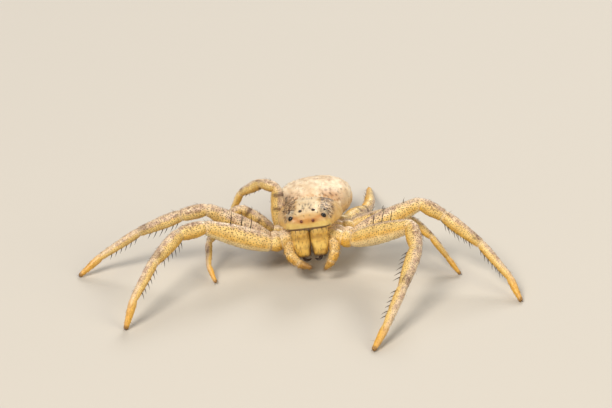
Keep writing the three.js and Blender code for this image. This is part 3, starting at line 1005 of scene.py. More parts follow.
@dataclass
class Leg:
    """One leg from the sternum to the claws, as one unbroken skin with its joints drawn in."""

    pair: LegPair
    side: Side
    pose: BodyPose
    sides: int = 44
    step: float = 0.045
    tip_height: float = 0.12
    joint_dip: tuple[float, ...] = (0.0, 0.06, 0.09, 0.12, 0.07, 0.1, 0.08, 0.0)
    dip_width: float = 0.055
    corner: float = 0.1
    trochanter_share: float = 0.7
    drop_limits: tuple[float, float] = (-40.0, 50.0)
    halvings: int = 40
    tip_turns: tuple[float, ...] = (0.45, 0.9, 1.25)
    spine_clearance: float = 0.05
    least_spine: float = 0.12
    claw_length: float = 0.12
    claw_radius: float = 0.02
    hair: Coat = Coat(
        density=70, length=0.1, spread=0.35, radius=0.0065, flatness=0.82, jitter=0.16, seed=100
    )
    bristles: Coat = Coat(
        density=2.5, length=0.18, spread=0.35, radius=0.008, flatness=0.5, jitter=0.2, seed=200, share="stiff"
    )

    @property
    def name(self) -> str:
        """The leg's name as its nodes spell it."""
        return f"leg{self.pair.number}_{self.side.word}"

    def direction(self, sweep: float, rise: float) -> np.ndarray:
        """The way a link points, for a sweep forward from sideways and a rise from level."""
        flat = math.cos(math.radians(rise))
        return np.array(
            [
                self.side.value * math.cos(math.radians(sweep)) * flat,
                -math.sin(math.radians(sweep)) * flat,
                math.sin(math.radians(rise)),
            ]
        )

    def joints(self) -> np.ndarray:
        """The joints from the sternum to the tip, with the foot on the floor.

        Returns:
            Eight positions in the part's frame.
        """
        stance = STANCES[(self.pair.number, self.side)]
        root = self.pose.to_part(np.array(self.pair.root) * self.side.mirror)
        hip = self.pose.to_part(np.array(self.pair.hip) * self.side.mirror - [0, 0, stance.drop])

        def reach(drop: float) -> list[np.ndarray]:
            chain = [hip]
            for i, length in enumerate(self.pair.lengths):
                rise = stance.rise[i] - (drop if i > 1 else 0.0)
                chain.append(chain[-1] + length * self.direction(stance.sweep[i], rise))
            return chain

        low, high = self.drop_limits
        for _ in range(self.halvings):
            middle = (low + high) / 2
            if reach(middle)[-1][2] > self.tip_height:
                low = middle
            else:
                high = middle
        trochanter = root + (hip - root) * self.trochanter_share
        return np.array([root, trochanter, *reach(low)])

    def upward(self, joints: np.ndarray, tangent: np.ndarray, start: int) -> np.ndarray:
        """The direction of the upper line, carried both ways from the start of the femur.

        Args:
            joints: The joints' positions.
            tangent: The leg's direction at each sample.
            start: The femur's first sample.

        Returns:
            A direction for each sample, square to the leg.
        """
        before = unit(joints[Link.PATELLA] - joints[Link.FEMUR])
        dorsal = before - unit(joints[Link.TIBIA] - joints[Link.PATELLA])
        upward = np.zeros_like(tangent)
        upward[start] = unit(dorsal - np.dot(dorsal, before) * before)
        for step, stop in ((1, len(tangent)), (-1, -1)):
            for i in range(start + step, stop, step):
                carried = upward[i - step]
                upward[i] = unit(carried - np.dot(carried, tangent[i]) * tangent[i])
        return upward

    def course(self) -> Course:
        """The samples along the leg, its corners softened and its joints pinched."""
        joints = self.joints()
        centres, links, shares = [], [], []
        for k in Link:
            span = joints[k + 1] - joints[k]
            count = max(4, int(round(np.linalg.norm(span) / self.step)))
            for i in range(count):
                centres.append(joints[k] + span * i / count)
                links.append(int(k))
                shares.append(i / count)
        centre = np.array([*centres, joints[-1]])
        link = np.array([*links, int(Link.TARSUS)])
        share = np.array([*shares, 1.0])
        arc = np.concatenate([[0], np.cumsum(np.linalg.norm(np.diff(centre, axis=0), axis=1))])
        starts = [int(np.argmax(link == k)) for k in Link]
        shapes = [LINK_SHAPES[Link(k)] for k in link]
        half = np.array([shape.half(place) for shape, place in zip(shapes, share)])
        kernel = ridge(np.arange(-6, 7), 0.0, self.corner / self.step)
        kernel /= kernel.sum()
        centre = soften(centre, kernel)
        half = soften(half, np.array([0.25, 0.5, 0.25])) * self.pair.girth
        for place, dip in zip([*arc[starts], arc[-1]], self.joint_dip):
            half *= 1 - dip * ridge(arc, place, self.dip_width)
        tangent = unit(np.gradient(centre, axis=0))
        upward = self.upward(joints, tangent, starts[Link.FEMUR])
        across = np.cross(tangent, upward)
        if across[starts[Link.PATELLA]][1] > 0:
            across = -across
        narrow = soften(np.array([shape.narrow for shape in shapes]), kernel)
        speckle = np.array([shape.speckle for shape in shapes])
        return Course(centre, link, share, tangent, upward, across, half, narrow, speckle)

    def skin(self, course: Course) -> Skin:
        """The leg's surface with its colours, hair directions and speckle."""
        angles = np.arange(self.sides) * 2 * math.pi / self.sides
        cosine, sine = np.cos(angles), np.sin(angles)
        wide = (course.half * course.narrow)[:, None] * cosine
        high = course.half[:, None] * sine
        rings = course.centre[:, None] + course.across[:, None] * wide[..., None]
        rings = rings + course.upward[:, None] * high[..., None]
        tip = course.centre[-1]
        ends = []
        for turn in self.tip_turns:
            offset = course.tangent[-1] * course.half[-1] * math.sin(turn)
            ends.append(tip + offset + (rings[-1] - tip) * math.cos(turn))
        rings = np.concatenate([rings, np.array(ends)])
        rings[..., 2] = np.maximum(rings[..., 2], SKIN_GAP)
        skin = loft(rings)
        sample = np.minimum(np.arange(len(rings)), len(course.centre) - 1)

        def spread(values: np.ndarray) -> np.ndarray:
            each = np.repeat(values[sample], self.sides, axis=0)
            return np.concatenate([each, values[:1], values[-1:]])

        top, front = (np.concatenate([np.tile(wave, len(rings)), [0.0, 0.0]]) for wave in (sine, cosine))
        reach = spread(course.link + course.share)
        skin.lie = spread(course.tangent)
        skin.tint = self.colours(skin.points, reach, top, front)
        skin.values["speckle"] = spread(course.speckle) * (0.55 + 0.45 * smooth(-0.9, 0.2, top))
        skin.values["hair"] = np.where(reach > 1.0, 1.0, 0.35)
        skin.values["stiff"] = smooth(1.9, 2.2, reach) * (0.35 + 0.65 * smooth(0.2, 0.9, np.abs(top)))
        skin.points = skin.points + vertex_normals(skin) * (wander(skin.points, 0.35, 11)[:, None] * 0.006)
        return skin

    def colours(
        self, points: np.ndarray, reach: np.ndarray, top: np.ndarray, front: np.ndarray
    ) -> np.ndarray:
        """Cream above and yellow below, partly the leg's own colour and partly painted light (a lit top and a
        painted warm bounce from below), with brown marks at the joints.

        Args:
            points: Positions in millimetres.
            reach: The number of each point's link, and how far along it the point lies.
            top: 1 on the upper line, -1 on the lower line.
            front: 1 on the side that faces forward.

        Returns:
            A linear colour for each point.
        """
        # Yellow base with cream laid on the upper side: partly the leg's own colour, partly painted light, a
        # lit top and a painted warm bounce on the lower side.
        paint = Paint("#dfb14a", len(points))
        paint.lay("#ecd08a", smooth(-0.75, 0.1, top))
        rough = wander(points, 0.5, 3) * 0.12
        paint.lay("#e6d3bb", smooth(0.3, 0.85, top + rough) * 0.9)
        paint.lay("#f3e0ae", smooth(-0.45, -0.85, top) * (reach >= 2) * (reach < 3) * 0.8)
        late = smooth(5.6, 6.6, reach)
        paint.lay("#e2ad38", late * 0.8)
        violet = smooth(0.1, 0.9, wander(points, 0.3, 5) + 0.35) * smooth(0.2, 0.7, top)
        paint.lay("#a98a86", violet * 0.55 * (reach > 2.2) * (reach < 5.6))
        patch = smooth(0.15, 0.7, wander(points, 0.16, 7) + 0.25)
        knee = ridge(reach, 3.5, 0.22) * smooth(-0.1, 0.5, top)
        paint.lay("#7d5640", patch * knee * 0.7)
        shin = ridge(reach, 4.86, 0.09) * smooth(-0.2, 0.4, top)
        paint.lay("#5a3a2c", shin * (0.35 + 0.4 * patch))
        spot = ridge(reach, 4.05, 0.05) * ridge(front, 0.35, 0.25) * (top < 0.9)
        paint.lay("#3d2219", np.clip(spot * 1.2, 0, 0.85))
        if self.pair.number in (3, 4):
            ring = ridge(reach, 2.84, 0.035) + 0.8 * ridge(reach, 2.5, 0.03) * (np.abs(front) > 0.75)
            paint.lay("#5b3a2b", np.clip(ring, 0, 0.8) * smooth(-0.6, 0.0, top))
        joint = np.zeros(len(points))
        for place in (1.0, 2.0, 3.0, 4.0, 5.0):
            joint = np.maximum(joint, ridge(reach, place, 0.03))
        paint.lay("#f0dfc0", joint * 0.5)
        paint.lay("#6b4426", smooth(6.9, 7.0, reach) * 0.7)
        return paint.colour

    def spines(self, course: Course) -> list[Spine]:
        """The stiff spines of the leg, in the places that the solids have them."""
        rng = np.random.default_rng(40 + self.pair.number * 2 + self.side.value)
        rows = []
        for row in SPINE_ROWS[self.pair.number]:
            for place in row.places:
                index = int(np.argmin(np.where(course.link == row.link, np.abs(course.share - place), 9.0)))
                up, across, half = course.upward[index], course.across[index], course.half[index]
                for hand in (1, -1) if row.both else (1,):
                    turn = math.radians(row.turn + rng.uniform(-5, 5))
                    out = up * math.cos(turn) + across * math.sin(turn) * hand
                    base = course.centre[index] + up * (math.cos(turn) * half)
                    base = base + across * (math.sin(turn) * hand * half * course.narrow[index])
                    aim = unit(out + course.tangent[index] * row.lean)
                    length = row.length * rng.uniform(0.85, 1.12)
                    if base[2] + aim[2] * length < self.spine_clearance:
                        room = base[2] - self.spine_clearance
                        length = max(self.least_spine, room / max(-aim[2], 0.2))
                    root = (0.25 - hand * row.turn / 360.0, 0.02 + 0.96 * index / len(course.centre))
                    rows.append(Spine(base, aim, course.tangent[index], length, row.radius, root))
        return rows

    def claws(self, course: Course) -> list[Spine]:
        """Two small claws at the tip, over the tuft."""
        along, across, up = course.tangent[-1], course.across[-1], course.upward[-1]
        rows = []
        for hand in (-1, 1):
            base = course.centre[-1] + along * course.half[-1] * 0.6 + across * hand * 0.035 + up * 0.02
            aim = unit(along * 0.7 + across * hand * 0.25 + up * 0.35)
            rows.append(Spine(base, aim, -up, self.claw_length, self.claw_radius, (0.5, 0.98)))
        return rows

    def build(self, finishes: Finishes) -> None:
        """Make the skin, spines, claws and coat of the leg."""
        course = self.course()
        number = self.pair.number
        skin = self.skin(course).make(f"{self.name}_skin", finishes["leg"])
        settle(skin, [f"{self.name}_{part}" for part in ("coxa", "femur", "tibia", "foot")])
        settle(spines_mesh(f"{self.name}_spines", self.spines(course), finishes["spine"]))
        settle(spines_mesh(f"{self.name}_claws", self.claws(course), finishes["claw"]))
        settle(self.hair.seeded(number).grow(skin, f"{self.name}_coat", finishes["hair"]))
        long = self.bristles.seeded(number)
        settle(long.grow(skin, f"{self.name}_bristles", finishes["bristle"]))


def halfway(top: np.ndarray, bottom: np.ndarray) -> np.ndarray:
    """The level in the middle of a section."""
    return (top + bottom) / 2


def shell_rings(
    stations: Rows,
    count: int,
    sides: int,
    level: Callable[[np.ndarray, np.ndarray], np.ndarray],
    flatness: float,
    nose: float,
    tail: float,
) -> np.ndarray:
    """Rings of a body shell along Y, with rounded ends.

    Args:
        stations: Rows of position, half width, top and bottom.
        count: Samples between the ends.
        sides: Points in a ring.
        level: Where a section is widest, from its top and bottom.
        flatness: Below 1 for a squarer section.
        nose: How far the front end swells out.
        tail: How far the rear end swells out.

    Returns:
        Positions shaped (rings, sides, 3) in the body's frame.
    """
    y, width, top, bottom = catmull(stations, count).T
    widest = level(top, bottom)
    angle = np.arange(sides) * 2 * math.pi / sides
    c, s = np.cos(angle), np.sin(angle)
    x = np.sign(c) * np.abs(c) ** flatness
    z = np.sign(s) * np.abs(s) ** flatness
    rings = []
    for i in range(count):
        reach = np.where(s > 0, top[i] - widest[i], widest[i] - bottom[i])
        rings.append(np.stack([x * width[i], np.full(sides, y[i]), widest[i] + z * reach], axis=1))
    steps = 14
    front, rear = [], []
    for k in range(1, steps):
        turn = 0.5 * math.pi * k / steps
        for ends, source, swell in ((front, rings[0], -nose), (rear, rings[-1], tail)):
            middle = source.mean(axis=0)
            ring = middle + (source - middle) * math.cos(turn)
            ring[:, 1] += swell * math.sin(turn)
            ends.append(ring)
    return np.array(front[::-1] + rings + rear)


@dataclass
class EyeSet:
    """The eight eyes, each a glossy ball where the solids have it."""

    pose: BodyPose
    looks: dict[str, tuple[str, str]] = field(
        default_factory=lambda: {
            "front_median": ("amber_eye", "eye_brown"),
            "front_lateral": ("eye", "eye_dark"),
            "rear_median": ("small_eye", "eye_brown"),
            "rear_lateral": ("small_eye", "eye_brown"),
        }
    )
    rows: int = 20
    fullness: float = 1.12

    def centre(self, name: str, side: Side) -> tuple[np.ndarray, float]:
        """The place and radius of an eye in the body's frame, in millimetres."""
        low, high = (np.array(corner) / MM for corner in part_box(f"eye_{name}_{side.word}"))
        return self.pose.to_body((low + high) / 2), float((high - low).max() / 2) * self.fullness

    def build(self, finishes: Finishes) -> None:
        """Make the eyes."""
        turn = np.arange(2 * self.rows) * math.pi / self.rows
        circle = np.stack([np.cos(turn), np.sin(turn), np.zeros_like(turn)], axis=1)
        rise = np.array([0.0, 0.0, -1.0])
        angles = [math.pi * (i + 0.5) / self.rows for i in range(self.rows)]
        ball = np.array([circle * math.sin(angle) + rise * math.cos(angle) for angle in angles])
        for side in Side:
            for name, (finish, slot) in self.looks.items():
                centre, radius = self.centre(name, side)
                skin = loft(self.pose.to_part(centre + ball * radius))
                piece = skin.make(f"eye_{name}_{side.word}_lens", finishes[finish])
                settle(piece, [f"eye_{name}_{side.word}"])


@dataclass
class Prosoma:
    """The carapace with its raised eye knobs, and the underside that the legs grow from."""

    pose: BodyPose
    eyes: EyeSet
    stations: tuple[tuple[float, ...], ...] = (
        (-1.62, 0.86, 1.08, 0.47),
        (-1.5, 0.97, 1.17, 0.43),
        (-1.15, 1.15, 1.34, 0.4),
        (-0.4, 1.43, 1.47, 0.38),
        (0.3, 1.53, 1.45, 0.38),
        (0.9, 1.38, 1.24, 0.38),
        (1.3, 1.02, 0.98, 0.42),
        (1.52, 0.62, 0.78, 0.47),
    )
    core: tuple[tuple[float, ...], ...] = (
        (-1.2, 0.5, 0.5, -0.1),
        (-0.7, 0.85, 0.55, -0.34),
        (0.0, 1.0, 0.55, -0.42),
        (0.7, 0.85, 0.55, -0.36),
        (1.2, 0.45, 0.55, -0.1),
    )
    margin: float = 0.14
    flatness: float = 0.92
    knob_height: dict[str, float] = field(
        default_factory=lambda: {"front_lateral": 0.07, "rear_lateral": 0.1}
    )
    knob_radius: float = 0.3
    furrow_angles: tuple[float, ...] = (0.62, 1.12, 1.62, 2.15)
    hair: Coat = Coat(density=40, length=0.09, spread=0.4, radius=0.006, flatness=0.78, jitter=0.2, seed=301)
    bristles: Coat = Coat(
        density=4, length=0.13, spread=0.35, radius=0.0075, flatness=0.5, jitter=0.25, seed=302, share="stiff"
    )

    def surface(self) -> Skin:
        """The carapace with its knobs, furrows and colours."""
        rings = shell_rings(
            self.stations, 120, 144, lambda top, bottom: bottom + self.margin, self.flatness, 0.05, 0.12
        )
        skin = loft(rings, 0.25)
        points = skin.points
        normal = vertex_normals(skin)
        raised = np.zeros(len(points))
        for side in Side:
            for name, height in self.knob_height.items():
                centre, _ = self.eyes.centre(name, side)
                raised += height * bump(np.linalg.norm(points - centre, axis=1), self.knob_radius)
        x, y, z = points.T
        upper = smooth(0.5, 0.8, z)
        fovea = ridge(x, 0.0, 0.05) * ridge(y, 0.45, 0.22)
        raised -= 0.05 * fovea * upper
        turn = np.arctan2(np.abs(x), 0.45 - y)
        far = np.hypot(x, y - 0.45)
        for angle in self.furrow_angles:
            raised -= 0.02 * ridge((turn - angle) * far, 0.0, 0.07) * smooth(0.3, 0.6, far) * upper
        brow = ridge(z, 0.62, 0.05) * (y < -1.2)
        raised -= 0.012 * brow
        raised += 0.008 * wander(points, 0.4, 21)
        skin.points = points + normal * raised[:, None]
        skin.tint = self.colours(skin.points)
        skin.lie = combed(normal, (0.0, -1.0, 0.0), 0.9)
        side_band = smooth(0.5, 0.7, np.abs(x)) * smooth(1.3, 1.05, np.abs(x)) * smooth(0.75, 0.95, z)
        skin.values["speckle"] = np.clip(0.12 + side_band * (y > -1.35) * (y < 0.9), 0, 1)
        face = smooth(-1.3, -1.5, y)
        skin.values["hair"] = np.clip(0.75 - 0.5 * face, 0, 1) * smooth(0.4, 0.55, z)
        skin.values["stiff"] = smooth(0.75, 1.0, z) * (1 - 0.6 * face)
        return skin.moved(self.pose)

    def colours(self, points: np.ndarray) -> np.ndarray:
        """Tan shell, cream head, mottled side bands, rust round the front eyes, yellow face.

        Args:
            points: Positions in the body's frame in millimetres.

        Returns:
            A linear colour for each point.
        """
        x, y, z = points.T
        side = np.abs(x)
        grain = wander(points, 0.12, 31)
        slow = wander(points, 0.45, 32)
        spots = wander(points, 0.16, 33)
        paint = Paint("#dcb872", len(points))
        # Paler, less yellow top: partly the shell's own colour, partly painted light, with the yellower lower
        # sides standing in for warm bounce light.
        paint.lay("#cfae7c", smooth(0.7, 1.0, z) * 0.8)
        inner = smooth(0.52, 0.68, side + 0.05 * slow) * smooth(1.24, 1.06, side + 0.05 * slow)
        band = inner * smooth(-1.38, -1.15, y) * smooth(0.95, 0.6, y) * smooth(0.72, 0.86, z)
        paint.lay("#b08a60", band * 0.75)
        paint.lay("#3a2010", band * smooth(0.02, 0.22, spots) * 0.95)
        paint.lay("#e0d0b0", band * smooth(-0.2, -0.6, spots) * 0.7)
        mask = smooth(0.6, 0.4, side + 0.07 * slow) * smooth(-1.5, -1.3, y) * smooth(0.9, 0.2, y)
        paint.lay("#ead9b8", mask * 0.9)
        paint.lay("#b9a68c", mask * smooth(0.35, 0.9, grain) * 0.45)
        rear = smooth(0.5, 1.1, y) * smooth(0.5, 0.3, side)
        paint.lay("#e2cda6", rear * 0.7)
        for offset, lean in ((0.05, 0.16), (0.17, 0.1)):
            line = ridge(side - lean * (-0.55 - y), offset, 0.018)
            line = line * smooth(-1.15, -1.05, y) * smooth(-0.45, -0.6, y)
            paint.lay("#4f3d33", line * 0.8)
        face = smooth(-1.28, -1.42, y)
        paint.lay("#dfc377", face * smooth(0.9, 0.8, z))
        paint.lay("#e9d391", face * smooth(0.68, 0.56, z) * 0.7)
        for part in Side:
            eye = {name: self.eyes.centre(name, part)[0] for name in self.eyes.looks}
            lateral = eye["front_lateral"]
            span = eye["front_median"] - lateral
            along = np.clip(((points - lateral) @ span) / float(span @ span), 0, 1)
            for place, radius, text, strength in (
                (eye["rear_lateral"], 0.36, "#cfc7b2", 0.85),
                (lateral + [part.value * 0.05, 0, 0.12], 0.22, "#d8cfba", 0.6),
                (lateral + along[:, None] * span, 0.2, "#b4680f", 0.95),
                (lateral, 0.23, "#5e2c10", 0.9),
                (eye["front_median"], 0.16, "#84410f", 0.9),
                (eye["rear_median"], 0.15, "#7d5c42", 0.8),
            ):
                paint.lay(text, bump(np.linalg.norm(points - place, axis=1), radius) * strength)
        middle = np.hypot(x, z - 0.93)
        paint.lay("#c98524", face * bump(middle, 0.3) * 0.6)
        rim = ridge(z, 0.5, 0.02) * (y > -1.4)
        paint.lay("#7a5a3e", np.clip(rim, 0, 1) * 0.5)
        lip = smooth(0.63, 0.58, z) * smooth(-1.3, -1.5, y)
        paint.lay("#5a3618", lip * 0.9)
        return paint.colour

    def fringe(self) -> list[Spine]:
        """Dark bristles along the lower edge of the face and among the eyes."""
        rows = []
        for i in range(9):
            x = -0.8 + 1.6 * i / 8
            base = (x, -1.64 + 0.12 * x * x, 0.58)
            rows.append(Spine(base, (x * 0.2, -0.55, -0.6), (0, 0, -1), 0.26, 0.018, (0.5, 0.01)))
        for x, y, z, length in (
            (0.14, -1.5, 1.14, 0.3),
            (0.5, -1.4, 1.22, 0.32),
            (0.16, -1.12, 1.36, 0.3),
            (0.55, -0.95, 1.38, 0.34),
            (0.95, -0.95, 1.2, 0.34),
            (0.34, -0.6, 1.44, 0.3),
            (0.8, -0.5, 1.38, 0.32),
            (1.15, -0.45, 1.14, 0.36),
            (0.2, 0.05, 1.47, 0.26),
            (0.62, 0.2, 1.42, 0.28),
        ):
            for hand in (-1, 1):
                aim = (hand * x * 0.35, -0.75, 0.6)
                root = (0.75 - hand * x * 0.1, 0.2)
                rows.append(Spine((hand * x, y, z), aim, (0, -1, -0.4), length, 0.016, root))
        turn = self.pose.matrix()
        for spine in rows:
            spine.base = self.pose.to_part(spine.base)
            spine.aim = turn @ np.array(spine.aim)
            spine.bend = turn @ np.array(spine.bend)
        return rows

    def build(self, finishes: Finishes) -> None:
        """Make the carapace, the underside and their hair."""
        carapace = self.surface().make("carapace_skin", finishes["carapace"])
        settle(carapace, ["carapace"])
        under = loft(shell_rings(self.core, 60, 72, halfway, 0.85, 0.1, 0.1))
        count = len(under.points)
        paint = Paint("#dcb863", count)
        paint.lay("#c79a48", smooth(0.0, 0.8, wander(under.points, 0.5, 41)) * 0.5)
        under.tint = paint.colour
        under.lie = np.tile([0.0, -1.0, 0.0], (count, 1))
        under.values["speckle"] = np.full(count, 0.4)
        under.values["hair"] = np.full(count, 1.0)
        under.moved(self.pose)
        settle(under.make("underside_skin", finishes["body"]), ["sternum"])
        settle(spines_mesh("face_bristles", self.fringe(), finishes["spine"]))
        settle(self.hair.grow(carapace, "carapace_coat", finishes["pale_hair"]))
        settle(self.bristles.grow(carapace, "carapace_bristles", finishes["bristle"]))


@dataclass
class Abdomen:
    """The broad, flat abdomen with its stalk and spinnerets."""

    pose: BodyPose
    stations: tuple[tuple[float, ...], ...] = (
        (1.64, 0.55, 0.72, -0.05),
        (1.8, 1.05, 0.98, -0.28),
        (2.2, 1.48, 1.16, -0.48),
        (2.9, 1.7, 1.27, -0.6),
        (3.7, 1.8, 1.28, -0.64),
        (4.5, 1.68, 1.16, -0.6),
        (5.1, 1.38, 0.96, -0.5),
        (5.55, 0.92, 0.7, -0.34),
        (5.8, 0.46, 0.46, -0.14),
    )
    flatness: float = 0.86
    pits: tuple[tuple[float, float], ...] = ((0.42, 2.55), (0.55, 3.25), (0.5, 3.95))
    spots: tuple[Point, ...] = (
        (0.55, 1.95, 0.14),
        (0.9, 2.05, 0.16),
        (1.2, 2.35, 0.15),
        (0.75, 1.88, 0.1),
        (1.42, 2.7, 0.1),
    )
    spinneret_count: int = 6
    hair: Coat = Coat(density=40, length=0.1, spread=0.4, radius=0.006, flatness=0.72, jitter=0.25, seed=401)
    bristles: Coat = Coat(
        density=2.2, length=0.12, spread=0.3, radius=0.008, flatness=0.6, jitter=0.2, seed=402, share="stiff"
    )

    def surface(self) -> Skin:
        """The abdomen with its folds, pits and colours."""
        skin = loft(shell_rings(self.stations, 150, 160, halfway, self.flatness, 0.06, 0.1), 0.25)
        points = skin.points
        normal = vertex_normals(skin)
        x, y, z = points.T
        side = np.abs(x)
        flank = smooth(0.55, 0.15, z) * smooth(-0.5, -0.2, z)
        folds = np.sin(z * 46 + 0.9 * wander(points, 1.2, 52)) * flank * smooth(0.9, 1.4, side)
        raised = 0.012 * folds + 0.014 * wander(points, 0.5, 51) + 0.02 * wander(points, 1.4, 53)
        for px, py in self.pits:
            raised -= 0.045 * bump(np.hypot(side - px, y - py), 0.13) * (z > 0.5)
        skin.points = points + normal * raised[:, None]
        skin.tint = self.colours(skin.points)
        skin.lie = combed(normal, (0.0, 1.0, 0.0), 0.9)
        skin.values["speckle"] = 0.15 + 0.5 * smooth(0.3, 0.9, wander(points, 0.7, 54))
        skin.values["hair"] = np.full(len(points), 1.0)
        skin.values["stiff"] = 0.4 + 0.6 * smooth(0.4, 0.9, z)
        return skin.moved(self.pose)

    def colours(self, points: np.ndarray) -> np.ndarray:
        """Pinkish cream above with tan shoulder patches and brown marks, yellower below, the yellow of the
        lower sides partly painted warm bounce light.

        Args:
            points: Positions in the body's frame in millimetres.

        Returns:
            A linear colour for each point.
        """
        x, y, z = points.T
        side = np.abs(x)
        slow = wander(points, 0.8, 61)
        grain = wander(points, 0.16, 62)
        stripe = wander(points * [1, 0.25, 0.25], 0.16, 63)
        paint = Paint("#ecdcc2", len(points))
        paint.lay("#f6ecd8", smooth(-0.1, 0.8, stripe) * 0.7)
        paint.lay("#c9a98c", smooth(-0.3, -1.0, stripe) * 0.5)
        paint.lay("#d9bf9c", smooth(0.2, 1.0, slow) * 0.5)
        shoulder = bump(np.hypot((side - 1.02) / 1.1, (y - 2.15) / 0.9), 0.75) * smooth(0.4, 0.7, z)
        paint.lay("#c7a17c", shoulder * (0.75 + 0.2 * slow))
        paint.lay("#6b4834", shoulder * smooth(0.3, 0.85, grain) * 0.8)
        front = smooth(2.15, 1.85, y) * smooth(0.2, 0.5, z)
        paint.lay("#c08a4e", front * smooth(-0.2, 0.7, grain) * 0.6)
        for px, py, size in self.spots:
            spot = bump(np.hypot(side - px, (y - py) * 1.2), size) * (z > 0.3)
            paint.lay("#4e2d1c", spot * smooth(-0.6, 0.2, grain) * 0.95)
        leaf = np.abs(side - (0.95 + 0.12 * np.sin(y * 5.2)) * smooth(5.7, 3.2, y))
        leaf = ridge(leaf, 0.0, 0.06) * smooth(2.8, 3.4, y) * (z > 0.3)
        paint.lay("#b08a68", leaf * 0.45)
        for k in range(4):
            bar = ridge(y - 0.48 * k + side * 0.28, 3.7, 0.05)
            bar = bar * smooth(0.9 - 0.12 * k, 0.4, side) * (z > 0.3)
            paint.lay("#b6926f", bar * 0.45)
        for px, py in self.pits:
            paint.lay("#9c7757", bump(np.hypot(side - px, y - py), 0.08) * (z > 0.5) * 0.7)
        # Yellower lower sides: partly the abdomen's own colour, partly painted warm bounce light from below.
        flank = smooth(0.5, 0.1, z)
        paint.lay("#dfb977", flank * 0.75)
        paint.lay("#9b6b3c", flank * smooth(0.1, -0.2, z) * smooth(0.45, 0.9, grain) * 0.5)
        paint.lay("#d8bd88", smooth(-0.25, -0.5, z) * 0.7)
        return paint.colour

    def tube(
        self,
        name: str,
        path: Rows,
        radii: Sequence[float],
        colour: str,
        material: bpy.types.Material,
        sides: int = 28,
    ) -> bpy.types.Object:
        """Make a round tube of one colour through points of the body's frame.

        Args:
            name: The piece's name.
            path: Points that it passes.
            radii: The radius at each of them.
            colour: Its hex colour.
            material: Its finish.
            sides: Points in a ring.

        Returns:
            The new object.
        """
        skin = loft(self.pose.to_part(tube_rings(path, radii, sides)))
        skin.tint = Paint(colour, len(skin.points)).colour
        return skin.make(name, material)

    def build(self, finishes: Finishes) -> None:
        """Make the abdomen, stalk, spinnerets and their hair."""
        skin = self.surface().make("abdomen_skin", finishes["abdomen"])
        settle(skin, ["abdomen"])
        body = finishes["body"]
        path = [(0, 0.9, 0.15), (0, 1.4, 0.12), (0, 1.9, 0.14)]
        stalk = self.tube("pedicel_skin", path, [0.24, 0.2, 0.24], "#c99d5a", body)
        settle(stalk, ["pedicel"])
        low, high = (np.array(corner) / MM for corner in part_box("spinnerets"))
        centre = self.pose.to_body((low + high) / 2)
        path = [centre + [0, -0.45, 0], centre + [0, -0.25, 0], centre + [0, -0.06, 0]]
        cones = [self.tube("spinneret_base", path, [0.3, 0.29, 0.2], "#cfa667", body)]
        for i in range(self.spinneret_count):
            angle = 2 * math.pi * (i + 0.5) / self.spinneret_count
            out = np.array([math.cos(angle), 0, math.sin(angle)])
            base = centre + out * 0.12 + [0, -0.25, 0]
            tip = centre + out * 0.15 + [0, 0.2, -0.02]
            path = [base, (base + tip) / 2, tip]
            cones.append(self.tube(f"spinneret_{i}", path, [0.1, 0.095, 0.055], "#c59a5c", body, 16))
        settle(join("spinnerets_skin", cones), ["spinnerets"])
        settle(self.hair.grow(skin, "abdomen_coat", finishes["pale_hair"]))
        settle(self.bristles.grow(skin, "abdomen_bristles", finishes["bristle"]))


